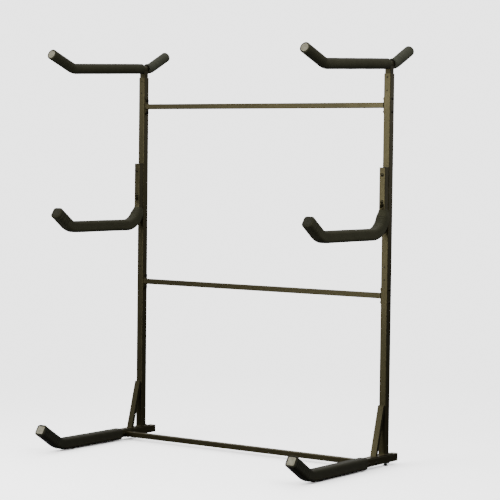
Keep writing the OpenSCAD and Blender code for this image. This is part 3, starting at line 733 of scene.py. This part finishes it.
def sleeve_profile(start, end, inner, outer, blind, mouth):
    """A sleeve's half section as (distance, half width, share of the wall's thickness, cut or
    not): up the bore, round the rolled lip, along the skin, and round the far lip or over the
    moulded end. A mouth is (depth, half width) of the wider bore that takes an end cap."""
    thick = outer - inner
    depth, opening = mouth or (0.0, inner)
    quarter = np.linspace(0, math.pi / 2, 6)
    skin = np.arange(start + LIP, end - LIP, RING_STEP)[1:]
    rolled = outer - LIP * (1 - np.cos(quarter))
    pieces = [(np.linspace(end - depth, start, 40), np.full(40, inner), True),
              (np.array([start]), np.array([inner + 0.4 * thick]), True),
              (start + LIP * (1 - np.sin(quarter[::-1])), rolled[::-1], False),
              (skin, np.full(len(skin), outer), False)]
    if blind:
        face = end + thick
        pieces.append((face - BLIND_ROUND * (1 - np.sin(quarter)),
                       outer - BLIND_ROUND * (1 - np.cos(quarter)), False))
        shrink = np.linspace(1, 0, 9)[1:-1]
        pieces.append((face + BLIND_CROWN * (1 - shrink ** 2), (outer - BLIND_ROUND) * shrink,
                       False))
    else:
        pieces.append((end - LIP * (1 - np.sin(quarter)), rolled, False))
        middle = opening + 0.4 * (outer - opening)
        pieces.append((np.array([end, end]), np.array([middle, opening + MOUTH_STEP]), True))
        if mouth is not None:
            pieces.append((np.array([end - depth]), np.array([opening]), True))
    distance = np.concatenate([piece[0] for piece in pieces])
    half = np.concatenate([piece[1] for piece in pieces])
    cut = np.concatenate([np.full(len(piece[0]), piece[2]) for piece in pieces])
    share = np.where(cut, np.clip((half - inner) / thick, 0, 1), 1.0)
    return distance, half, share, cut


def foam_sleeve(name, side, body, node, path, span, section, inner, outer, corners, stretches,
                skin, creases=(), blind=False, behind=False, trim=None, taper=None, mouth=None,
                seed=1):
    """A closed sleeve over a tube from span[0] to span[1] along its path. corners are the bore's
    and the skin's corner radii; creases are (bend, share); taper is (length, share of the wall
    left at the start); trim presses the back flat against that Y."""
    rng = np.random.default_rng(seed)
    distance, half, share, cut = sleeve_profile(*span, inner, outer, blind, mouth)
    cores, outs = section
    turn = np.arctan2(outs[:, 0], outs[:, 1])
    corner = corners[0] + (corners[1] - corners[0]) * share - np.where(cut, 0, outer - half)
    corner = np.clip(corner, 0.3 * half, 0.98 * half) if cores.any() else half
    on_skin = (rise(share, 0.6, 1.0) * rise(half, 0.4 * outer, outer))[:, None]
    inside = rise(distance, span[0], span[0] + FOLD_FREE_START) * (
        1 if blind else 1 - rise(distance, span[1] - FOLD_FREE_END, span[1]))
    swell = unevenness(distance, turn, rng) * on_skin
    gathers = folds(distance, turn, stretches, rng) * on_skin * inside[:, None]
    swell += gathers
    for index, amount in creases:
        swell += crease(path, index, amount, outer, distance, turn) * on_skin
    if taper is not None:
        length, left = taper
        thin = left + (1 - left) * rise(distance, span[0] - TAPER_LEAD, span[0] + length)
        half = inner + (half - inner) * np.where(distance < span[0] + length, thin, 1.0)
        corner = np.clip(corner, 0, 0.98 * half)
    points = tube_surface(path, section, distance, half, corner, swell, behind)
    if trim is not None:
        points[..., 1] = np.minimum(points[..., 1], trim - PRESSED_BORE * (1 - share[:, None]))
    rings, samples = len(distance), len(cores)
    # How deep each point lies in a fold, for the foam material's painted shade there.
    groove = np.clip(-gathers.ravel() / FULL_FOLD, 0, 1)
    ring_finish = (cut & np.roll(cut, -1)).astype(int)
    if blind:
        centre, _ = path.at(np.array([span[1], span[1] + (outer - inner) + BLIND_CROWN]))
        sign = 1.0 if behind else -1.0
        poles = np.stack([np.zeros(2), UPRIGHT_Y + sign * centre[:, 0], centre[:, 1]], 1)
        flat = np.vstack([points.reshape(-1, 3), poles])
        groove = np.append(groove, [0, 0])
        quads, triangles = grid_quads(rings, samples), pole_triangles(rings, samples)
        # The moulded end takes material 2, which on an arm is the darker foam of painted shade.
        moulded = (distance > span[1]) & (half < outer - 0.4 * BLIND_ROUND)
        ring_finish = np.where(moulded, 2, ring_finish)
        finish = np.concatenate([np.repeat(ring_finish[:-1], samples),
                                 np.repeat([1, 2], samples)])
    else:
        flat, quads, triangles = points.reshape(-1, 3), grid_quads(rings, samples, True), \
            NO_TRIANGLES
        finish = np.repeat(ring_finish, samples)
    piece = build(name, [(place_across(flat, side), quads, triangles, finish)],
                  [skin, foam_cut_and_shade, skin if behind else foam_end_shaded], body, 62.0, groove)
    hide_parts(node)
    return piece


BASE_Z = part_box("left_base_tube")[0].z + UPRIGHT_SIDE / 2
BASE_REACH = 0.663
BASE_TIP = 0.161
BASE_RADIUS = 0.150
BASE_TURN = math.radians(32.3)
BASE_START = 0.188
BASE_CUT = BASE_RADIUS * math.tan(BASE_TURN / 2)
CRADLE_TURN = math.radians(24.0)
CRADLE_CUT = BEND_RADIUS * math.tan(CRADLE_TURN / 2)
CRADLE_START = 0.021
REAR_LEG = 0.001
CRADLE_FRONT = (0.571, 0.176)
CRADLE_REAR = (CRADLE_START + REAR_LEG + CRADLE_CUT, 0.151)
ARM_FOAM_SLIP = {"left": 0.019, "right": -0.008}
ARM_FOAM_TAPER = (0.045, 0.3)
BASE_HALF = (0.01905 + SLEEVE_GAP, 0.02905)
ARM_HALF = (ARM_SIDE / 2 + SLEEVE_GAP, 0.0287)
CRADLE_HALF = (0.016 + SLEEVE_GAP, 0.0265)
BASE_CORNERS = (0.0035, 0.015)
ARM_CORNERS = (0.0025, 0.016)
CRADLE_CORNERS = (0.016, 0.0265)
BASE_CREASE = {"left": 0.45, "right": 0.9}
ARM_CREASE = 0.9
CRADLE_CREASE = {"front": 0.7, "rear": 0.6}
CAP_THICK = 0.004
CAP_HALF = {"base": 0.0208, "cradle": 0.0203}
CAP_PLAY = 0.0002
BASE_MOUTH = (CAP_THICK + CAP_PLAY, CAP_HALF["base"] + CAP_PLAY)
CRADLE_MOUTH = (CAP_THICK + CAP_PLAY, CAP_HALF["cradle"] + CAP_PLAY)


def cradle_path(reach, tip, tilt):
    """A cradle arm's centreline from the end of its foam beside the stub, on its tilted line."""
    start = (CRADLE_START * math.cos(tilt), CRADLE_Z + CRADLE_START * math.sin(tilt))
    return BentPath(start, tilt, (reach - CRADLE_START - CRADLE_CUT, tip - CRADLE_CUT),
                    (CRADLE_TURN,), BEND_RADIUS)


base_path = BentPath((BASE_START, BASE_Z), 0.0,
                     (BASE_REACH - BASE_START - BASE_CUT, BASE_TIP - BASE_CUT),
                     (BASE_TURN,), BASE_RADIUS)
front_path = cradle_path(*CRADLE_FRONT, -CRADLE_TILT)
rear_path = cradle_path(*CRADLE_REAR, CRADLE_TILT)
square_sleeve = square_section(9, 9)
round_sleeve = round_section(72)
base_bend = base_path.bend(0)
arm_bend, arm_tip_bend = arm_path.bend(0), arm_path.bend(1)
front_bend = front_path.bend(0)
rear_bend = rear_path.bend(0)


def bend_folds(bend, before, past, pitch, depth, reach):
    """A stretch of folds inside a bend, from before its start to past its end."""
    return bend[0] - before, bend[1] + past, pitch, depth, reach


def tip_folds(path, bend, before, pitch, depth, reach):
    """A stretch of folds round a raised end, from before its bend's end to the tip."""
    return bend[1] - before, path.length, pitch, depth, reach


for side, odd in (("left", 0), ("right", 10)):
    foam_sleeve(
        f"{side}_base_sleeve", side, "frame", f"{side}_base_foam", base_path,
        (0.0, base_path.length + CAP_THICK), square_sleeve, *BASE_HALF, BASE_CORNERS,
        [bend_folds(base_bend, before=0.01, past=0.0, pitch=0.0085, depth=0.0012, reach=1.1),
         tip_folds(base_path, base_bend, before=0.01, pitch=0.0124, depth=0.0021, reach=3.2)],
        foam_base_shaded, creases=[(0, BASE_CREASE[side])], mouth=BASE_MOUTH, seed=3 + odd)
    foam_sleeve(
        f"{side}_arm_sleeve", side, "frame", f"{side}_arm_foam", arm_path,
        (arm_bend[0] + ARM_FOAM_SLIP[side], arm_path.length), square_sleeve, *ARM_HALF,
        ARM_CORNERS,
        [bend_folds(arm_bend, before=-0.03, past=0.0, pitch=0.0105, depth=0.0011, reach=1.2),
         bend_folds(arm_tip_bend, before=0.01, past=0.02, pitch=0.009, depth=0.0012, reach=1.2),
         tip_folds(arm_path, arm_tip_bend, before=-0.01, pitch=0.0122, depth=0.0014, reach=3.0)],
        foam_dark, creases=[(1, ARM_CREASE)], blind=True, trim=UPRIGHT_FRONT - PRESSED,
        taper=ARM_FOAM_TAPER, seed=4 + odd)
    foam_sleeve(
        f"{side}_cradle_front_sleeve", side, f"{side}_cradle", f"{side}_cradle_front_foam",
        front_path, (0.0, front_path.length + CAP_THICK), round_sleeve, *CRADLE_HALF,
        CRADLE_CORNERS,
        [bend_folds(front_bend, before=0.012, past=0.02, pitch=0.008, depth=0.0011, reach=1.2),
         tip_folds(front_path, front_bend, before=0.0, pitch=0.0118, depth=0.0009, reach=3.0)],
        foam_dark, creases=[(0, CRADLE_CREASE["front"])], mouth=CRADLE_MOUTH, seed=5 + odd)
    foam_sleeve(
        f"{side}_cradle_rear_sleeve", side, f"{side}_cradle", f"{side}_cradle_rear_foam",
        rear_path, (0.0, rear_path.length), round_sleeve, *CRADLE_HALF, CRADLE_CORNERS,
        [bend_folds(rear_bend, before=-0.004, past=0.02, pitch=0.008, depth=0.0008, reach=1.2),
         tip_folds(rear_path, rear_bend, before=0.0, pitch=0.0105, depth=0.0006, reach=3.0)],
        foam_light, creases=[(0, CRADLE_CREASE["rear"])], blind=True, behind=True, seed=6 + odd)

# ---- End caps --------------------------------------------------------------------------------
# The base and cradle tips end in push-in caps of moulded, slightly yellowed white plastic, square
# below and round above; the other tube ends have thin black plugs.
CAP_COLOUR = (0.40, 0.38, 0.275)
CAP_SHADE = (0.29, 0.272, 0.19)
CAP_SCUFF = (0.13, 0.115, 0.075)
PLUG_COLOUR = (0.014, 0.014, 0.013)
PLUG_SCUFF = (0.06, 0.058, 0.05)
CAP_EDGE = 0.0012
CAP_CORNER = 0.005
CAP_DISH = 0.0006
CAP_DISH_EDGE = ((0.0001, 2.2), (0.0005, 3.4))
STEM_HALF = {"base": 0.0163, "cradle": 0.0138}
STEM_DEPTH = 0.024
STEM_CORNER = 0.001
STEM_TIP = 0.001
STEM_TIP_DROPS = (0.0024, 0.0014)
RIB_COUNT = 5
RIB_HALF = 0.001
RIB_RISE = 0.0012
RIB_MARGIN = 0.003


def cap_finish():
    """Moulded plastic, a little sun-yellowed: slow tint, fine texture, scuffed edges."""
    cap = Finish("cap_plastic", Specular_IOR_Level=0.4)
    skin = cap.group(skin_group, Grain_Scale=900.0, Blotch_Scale=70.0)
    scuffs = cap.group(scuff_group, Amount=0.5)
    tone = cap.blend(cap.span(skin["Blotch"], 0.0, 1.0, 0.35, 0.65), CAP_COLOUR, CAP_SHADE)
    colour = cap.blend(scuffs["Mask"], tone, CAP_SCUFF)
    return cap.done(colour, cap.span(skin["Blotch"], 0.38, 0.55, *NOISE_SPREAD),
                    cap.bump(skin["Grain"], distance=0.00015, strength=0.4))


def plug_finish():
    """Black polyethylene with a soft mould texture."""
    plug = Finish("plug_plastic", Specular_IOR_Level=0.4)
    skin = plug.group(skin_group, Grain_Scale=800.0, Blotch_Scale=50.0)
    scuffs = plug.group(scuff_group, Amount=0.7)
    colour = plug.blend(scuffs["Mask"], PLUG_COLOUR, PLUG_SCUFF)
    return plug.done(colour, plug.span(skin["Blotch"], 0.42, 0.6, *NOISE_SPREAD),
                     plug.bump(skin["Grain"], distance=0.0002, strength=0.4))


cap_material = cap_finish()
plug_material = plug_finish()
for side in ("left", "right"):
    for node in (f"{side}_base_rear_plug", f"{side}_arm_plug"):
        paint(node, plug_material)


def end_cap(path, section, kind, corner):
    """A cap on a path's end: from the stem's blind end out along its ribs, round the flange's
    edges and over a face that is dished by a hair, closed by a pole at each end."""
    half, stem = CAP_HALF[kind], STEM_HALF[kind]
    quarter = np.linspace(0, math.pi / 2, 6)
    profile = [(-STEM_DEPTH, 0.3 * stem), (-STEM_DEPTH, stem - STEM_TIP_DROPS[0]),
               (-STEM_DEPTH + STEM_TIP, stem - STEM_TIP_DROPS[1])]
    for rib in np.linspace(-STEM_DEPTH + RIB_MARGIN, -RIB_MARGIN, RIB_COUNT):
        profile += [(rib - RIB_HALF, stem - RIB_RISE), (rib, stem),
                    (rib + RIB_HALF, stem - RIB_RISE)]
    profile += [(0.0, stem - RIB_RISE), (0.0, half - CAP_EDGE)]
    profile += [(CAP_EDGE * (1 - math.cos(a)), half - CAP_EDGE * (1 - math.sin(a)))
                for a in quarter]
    profile += [(CAP_THICK - CAP_EDGE * (1 - math.sin(a)), half - CAP_EDGE * (1 - math.cos(a)))
                for a in quarter]
    profile += [(CAP_THICK - drop, half - inward * CAP_EDGE) for drop, inward in CAP_DISH_EDGE]
    profile += [(CAP_THICK - CAP_DISH, half * share) for share in (0.5, 0.15)]
    profile = np.array(profile)
    distance, halves = path.length + profile[:, 0], profile[:, 1]
    corners = np.minimum(np.where(halves > stem, corner, STEM_CORNER), halves * 0.98)
    points = tube_surface(path, section, distance, halves,
                          corners if section[0].any() else halves)
    ends, _ = path.at(distance[[0, -1]])
    poles = np.stack([np.zeros(2), UPRIGHT_Y - ends[:, 0], ends[:, 1]], 1)
    rings, samples = points.shape[:2]
    return (np.vstack([points.reshape(-1, 3), poles]), grid_quads(rings, samples),
            pole_triangles(rings, samples))


for side in ("left", "right"):
    points, quads, triangles = end_cap(base_path, square_section(8, 6), "base", CAP_CORNER)
    piece = build(f"{side}_base_cap", [(place_across(points, side), quads, triangles, None)],
                  [cap_material], "frame", 50.0)
    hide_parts(f"{side}_base_front_cap")
    points, quads, triangles = end_cap(front_path, round_section(56), "cradle",
                                       CAP_HALF["cradle"])
    piece = build(f"{side}_cradle_end_cap",
                  [(place_across(points, side), quads, triangles, None)], [cap_material],
                  f"{side}_cradle", 50.0)
    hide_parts(f"{side}_cradle_cap")

# ---- Fasteners -------------------------------------------------------------------------------
# Button-head bolts hold the arms, crossbars and foot plates, and socket screws lock the inner
# tubes. The arms' bolts were coated with the frame and the other bolts have black oxide. Washers,
# crossbar nuts and lock screws are dull black; the other nuts and the inserts are zinc plated.
ZINC_COLOUR = (0.42, 0.46, 0.52)
ZINC_DULL = (0.56, 0.56, 0.54)
OXIDE_COLOUR = (0.030, 0.027, 0.020)
OXIDE_WORN = (0.20, 0.18, 0.13)
DULL_BLACK = (0.004, 0.0038, 0.003)
DULL_BLACK_SHADE = (0.012, 0.011, 0.008)


def zinc_finish():
    """Bright zinc plate: bluish metal with a soft spangle and dull patches."""
    zinc = Finish("zinc_plate", Metallic=1.0)
    skin = zinc.group(skin_group, Grain_Scale=500.0, Blotch_Scale=120.0)
    colour = zinc.blend(zinc.span(skin["Blotch"], 0.0, 1.0, 0.35, 0.65), ZINC_COLOUR, ZINC_DULL)
    return zinc.done(colour, zinc.span(skin["Blotch"], 0.24, 0.46, *NOISE_SPREAD),
                     zinc.bump(skin["Grain"], distance=0.0001, strength=0.4))


def oxide_finish():
    """Black oxide on steel: dark, slightly oily, worn brighter in scuffs."""
    oxide = Finish("black_oxide", Metallic=0.9)
    skin = oxide.group(skin_group, Grain_Scale=600.0, Blotch_Scale=90.0)
    scuffs = oxide.group(scuff_group, Amount=0.8)
    colour = oxide.blend(scuffs["Mask"], OXIDE_COLOUR, OXIDE_WORN)
    return oxide.done(colour, oxide.span(skin["Blotch"], 0.22, 0.36, *NOISE_SPREAD),
                      oxide.bump(skin["Grain"], distance=0.0001, strength=0.4))


def socket_finish():
    """Dull black on washers, crossbar nuts and lock screws, too dark to shine."""
    socket = Finish("black_socket", Specular_IOR_Level=0.2)
    skin = socket.group(skin_group, Grain_Scale=600.0, Blotch_Scale=90.0)
    colour = socket.blend(skin["Blotch"], DULL_BLACK, DULL_BLACK_SHADE)
    return socket.done(colour, socket.span(skin["Blotch"], 0.5, 0.7, *NOISE_SPREAD),
                       socket.bump(skin["Grain"], distance=0.0001, strength=0.4))


zinc_material = zinc_finish()
oxide_material = oxide_finish()
socket_material = socket_finish()
for node in ("arm_nuts", "foot_plate_nuts", "foot_inserts"):
    paint(node, zinc_material)
paint("arm_bolts", coat_material)
for node in ("crossbar_bolts", "foot_plate_bolts"):
    paint(node, oxide_material)
for node in ("arm_washers", "crossbar_nuts", "lock_screws"):
    paint(node, socket_material)

# ---- Levelling feet --------------------------------------------------------------------------
# Four screw-in feet level the rack: a black rubber pad moulded round a zinc-plated hexagon and a
# threaded stud, which turns in an insert in the base tube's floor.
PAD_RADIUS = 0.012
PAD_HEIGHT = 0.0088
PAD_RIM = 0.0012
PAD_SHOULDER = ((0.0036, 0.0), (0.0044, 0.0006), (0.0055, 0.0028))
HEX_ACROSS = 0.013
HEX_TOP = 0.0145
HEX_CHAMFER = 0.0006
HEX_CONE = (0.0002, 0.0012, 0.0012, 0.0002, -0.0014)
PAD_WAIST = HEX_ACROSS / 2 + 0.0006
PAD_NECK = (0.0070, PAD_WAIST + 0.0012)
STUD_RADIUS = 0.004
STUD_TOP = 0.0435
STUD_TIP = 0.001
STUD_TIP_RADII = ((0.0034,), (0.0028,), (0.0012,))
THREAD_PITCH = 0.00125
THREAD_DEPTH = 0.0007
THREAD_FADE = 0.002
RUBBER_COLOUR = (0.016, 0.016, 0.015)
RUBBER_DUST = (0.06, 0.057, 0.05)


def rubber_finish():
    """Black rubber: matt, faintly grained, greyed by dust from the floor."""
    rubber = Finish("foot_rubber", Specular_IOR_Level=0.3)
    skin = rubber.group(skin_group, Grain_Scale=700.0, Blotch_Scale=90.0)
    colour = rubber.blend(rubber.span(skin["Blotch"], 0.0, 0.6, 0.4, 0.75), RUBBER_COLOUR,
                          RUBBER_DUST)
    return rubber.done(colour, rubber.span(skin["Grain"], 0.7, 0.9, *NOISE_SPREAD),
                       rubber.bump(skin["Grain"], distance=0.0002, strength=0.5))


def foot_surface():
    """A foot as radius over height and angle: a turned pad with a rounded rim and a waist, then
    a hexagon (half its width over the cosine of the angle from each flat's middle) under a
    chamfer cone, then a thread, whose triangle wave climbs one pitch a turn."""
    turn = np.linspace(0, 2 * math.pi, 48, endpoint=False)
    quarter = np.linspace(0, math.pi / 2, 6)
    pad = [(0.0, 0.5 * PAD_RADIUS), (0.0, PAD_RADIUS - PAD_RIM)]
    pad += [(PAD_RIM * (1 - math.cos(a)), PAD_RADIUS - PAD_RIM * (1 - math.sin(a)))
            for a in quarter]
    pad += [(height, PAD_RADIUS - inward) for height, inward in PAD_SHOULDER]
    pad += [PAD_NECK, (PAD_HEIGHT, PAD_WAIST)]
    pad = np.array(pad)
    pad_radius = np.repeat(pad[:, 1:], len(turn), 1)
    flat = (turn + math.pi / 6) % (math.pi / 3) - math.pi / 6
    hexagon = HEX_ACROSS / 2 / np.cos(flat)
    hex_z = np.array([PAD_HEIGHT, PAD_HEIGHT + HEX_CHAMFER, HEX_TOP - HEX_CHAMFER, HEX_TOP,
                      HEX_TOP])
    cone = HEX_ACROSS / 2 + np.array(HEX_CONE)
    hex_radius = np.minimum(hexagon[None], cone[:, None])
    thread_z = np.arange(HEX_TOP, STUD_TOP - STUD_TIP, THREAD_PITCH / 6)
    wave = (thread_z[:, None] / THREAD_PITCH - turn[None] / (2 * math.pi)) % 1.0
    groove = THREAD_DEPTH * np.abs(2 * wave - 1)
    faded = rise(thread_z, HEX_TOP, HEX_TOP + THREAD_FADE)[:, None]
    stud_radius = STUD_RADIUS - groove * faded
    tip_z = np.array([STUD_TOP - STUD_TIP, STUD_TOP, STUD_TOP])
    tip_radius = np.repeat(np.array(STUD_TIP_RADII), len(turn), 1)
    height = np.concatenate([pad[:, 0], hex_z, thread_z, tip_z])
    radius = np.vstack([pad_radius, hex_radius, stud_radius, tip_radius])
    points = np.stack([radius * np.cos(turn), radius * np.sin(turn),
                       np.repeat(height[:, None], len(turn), 1)], 2)
    poles = np.array([[0, 0, 0], [0, 0, STUD_TOP]])
    rings = len(height)
    metal = (np.arange(rings - 1) >= len(pad)).astype(int)
    finish = np.concatenate([np.repeat(metal, len(turn)), np.repeat([0, 1], len(turn))])
    return (np.vstack([points.reshape(-1, 3), poles]), grid_quads(rings, len(turn)),
            pole_triangles(rings, len(turn)), finish)


rubber_material = rubber_finish()
for side in ("left", "right"):
    for end in ("front", "rear"):
        low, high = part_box(f"{side}_{end}_foot")
        points, quads, triangles, finish = foot_surface()
        points = points + np.array([(low.x + high.x) / 2, (low.y + high.y) / 2, low.z])
        piece = build(f"{side}_{end}_foot_turned", [(points, quads, triangles, finish)],
                      [rubber_material, zinc_material], f"{side}_{end}_foot",
                      35.0)
        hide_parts(f"{side}_{end}_foot")

# ---- Floor, light and camera -----------------------------------------------------------------
# A plain, light studio: three large soft boxes in front and two behind, a dim room all round,
# and a floor and backdrop lit so brightly for the camera that only soft contact shadows are left.
CAMERA_PLACE = (5.6155, -7.9335 + UPRIGHT_Y, 1.5129)
CAMERA_TURN = math.radians(35.562)
CAMERA_DOWN = math.radians(2.847)
CAMERA_ROLL = math.radians(0.686)
CAMERA_LENS = 137.27
LIGHTS = [
    ("high_bank", (-2.6, -4.3, 3.15), (-0.6, 0.3, 1.5), (4.4, 2.5), 76.0),
    ("front_box", (-1.1, -4.3, 1.35), (0.2, 0.3, 1.2), (2.4, 1.9), 56.0),
    ("side_fill", (4.4, -2.6, 3.4), (0.0, 0.0, 1.5), (3.0, 3.0), 85.0),
    ("rear_card", (3.6, 5.0, 2.1), (0.0, 0.3, 1.4), (3.4, 2.0), 9.0),
    ("rear_bank", (-2.2, 5.2, 3.2), (0.0, 0.3, 1.3), (4.0, 2.4), 45.0)]
FLOOR_GREY = 0.03
FLOOR_LIT = 4.1
FLOOR_NEAR = 1.2
FLOOR_FAR = 3.5
FLOOR_HALF = 60.0
BACKDROP = 3.1
ROOM_LOW = 0.06
ROOM_HIGH = 0.75
ROOM_RISE = (-0.1, 0.9)


def seen_by_camera(nodes, links, unseen, seen):
    """A value that is `seen` for camera rays and `unseen` for light that falls on the rack."""
    path = nodes.new("ShaderNodeLightPath")
    chosen = nodes.new("ShaderNodeMapRange")
    links.new(path.outputs["Is Camera Ray"], chosen.inputs["Value"])
    for label, value in (("To Min", unseen), ("To Max", seen)):
        if isinstance(value, float):
            chosen.inputs[label].default_value = value
        else:
            links.new(value, chosen.inputs[label])
    return chosen.outputs["Result"]


def floor_finish():
    """Bright studio floor: light to the camera, dark for what it bounces back. It takes soft
    shadows under the rack and fades into the backdrop's own brightness further out."""
    material = bpy.data.materials.new("studio_floor")
    material.use_nodes = True
    nodes, links = material.node_tree.nodes, material.node_tree.links
    nodes.remove(nodes["Principled BSDF"])
    diffuse = nodes.new("ShaderNodeBsdfDiffuse")
    links.new(seen_by_camera(nodes, links, FLOOR_GREY, FLOOR_LIT), diffuse.inputs["Color"])
    glow = nodes.new("ShaderNodeEmission")
    links.new(seen_by_camera(nodes, links, 0.0, BACKDROP), glow.inputs["Strength"])
    place = nodes.new("ShaderNodeTexCoord").outputs["Object"]
    reach = nodes.new("ShaderNodeVectorMath")
    reach.operation = "LENGTH"
    links.new(place, reach.inputs[0])
    away = nodes.new("ShaderNodeMapRange")
    away.inputs["From Min"].default_value = FLOOR_NEAR
    away.inputs["From Max"].default_value = FLOOR_FAR
    links.new(reach.outputs["Value"], away.inputs["Value"])
    mixed = nodes.new("ShaderNodeMixShader")
    links.new(away.outputs["Result"], mixed.inputs["Fac"])
    links.new(diffuse.outputs["BSDF"], mixed.inputs[1])
    links.new(glow.outputs["Emission"], mixed.inputs[2])
    links.new(mixed.outputs["Shader"], nodes["Material Output"].inputs["Surface"])
    return material


def room():
    """Light backdrop for the camera; for the rack a dim room that is lighter overhead."""
    world = bpy.data.worlds.new("studio")
    world.use_nodes = True
    nodes, links = world.node_tree.nodes, world.node_tree.links
    direction = nodes.new("ShaderNodeTexCoord")
    split = nodes.new("ShaderNodeSeparateXYZ")
    links.new(direction.outputs["Generated"], split.inputs["Vector"])
    upward = nodes.new("ShaderNodeMapRange")
    for label, value in (("From Min", ROOM_RISE[0]), ("From Max", ROOM_RISE[1]),
                         ("To Min", ROOM_LOW), ("To Max", ROOM_HIGH)):
        upward.inputs[label].default_value = value
    links.new(split.outputs["Z"], upward.inputs["Value"])
    nodes["Background"].inputs["Color"].default_value = (1.0, 1.0, 1.0, 1.0)
    links.new(seen_by_camera(nodes, links, upward.outputs["Result"], BACKDROP),
              nodes["Background"].inputs["Strength"])
    return world


floor_mesh = bpy.data.meshes.new("studio_floor")
floor_mesh.from_pydata([(-FLOOR_HALF, -FLOOR_HALF, 0), (FLOOR_HALF, -FLOOR_HALF, 0),
                        (FLOOR_HALF, FLOOR_HALF, 0), (-FLOOR_HALF, FLOOR_HALF, 0)],
                       [], [(0, 1, 2, 3)])
floor_mesh.materials.append(floor_finish())
floor = bpy.data.objects.new("studio_floor", floor_mesh)
bpy.context.scene.collection.objects.link(floor)
bpy.context.scene.world = room()


def area_light(name, place, aim, size, power):
    """A soft box (wide, high) at place, facing aim, that the camera doesn't see."""
    data = bpy.data.lights.new(name, "AREA")
    data.shape, data.size, data.size_y, data.energy = "RECTANGLE", size[0], size[1], power
    light = bpy.data.objects.new(name, data)
    light.location = place
    away = np.array(place, float) - np.array(aim, float)
    level = math.hypot(away[0], away[1])
    light.rotation_euler = (math.atan2(level, away[2]), 0.0, math.atan2(away[0], -away[1]))
    light.visible_camera = False
    bpy.context.scene.collection.objects.link(light)
    return light


for light in LIGHTS:
    area_light(*light)


def camera_axes():
    """The photographer's right, up and forward: turned, tipped down, then rolled."""
    turn, down, roll = CAMERA_TURN, CAMERA_DOWN, CAMERA_ROLL
    forward = np.array([-math.sin(turn) * math.cos(down), math.cos(turn) * math.cos(down),
                        -math.sin(down)])
    level = np.array([math.cos(turn), math.sin(turn), 0.0])
    upward = np.cross(level, forward)
    right = math.cos(roll) * level + math.sin(roll) * upward
    return right, np.cross(right, forward), forward


right, upward, forward = camera_axes()
camera_data = bpy.data.cameras.new("camera")
camera_data.sensor_width = 36.0
camera_data.lens = CAMERA_LENS
camera_data.clip_end = 200.0
camera = bpy.data.objects.new("camera", camera_data)
bpy.context.scene.collection.objects.link(camera)
axes = np.column_stack([right, upward, -forward, CAMERA_PLACE])
camera.matrix_world = Matrix([*axes.tolist(), [0.0, 0.0, 0.0, 1.0]])
bpy.context.scene.camera = camera
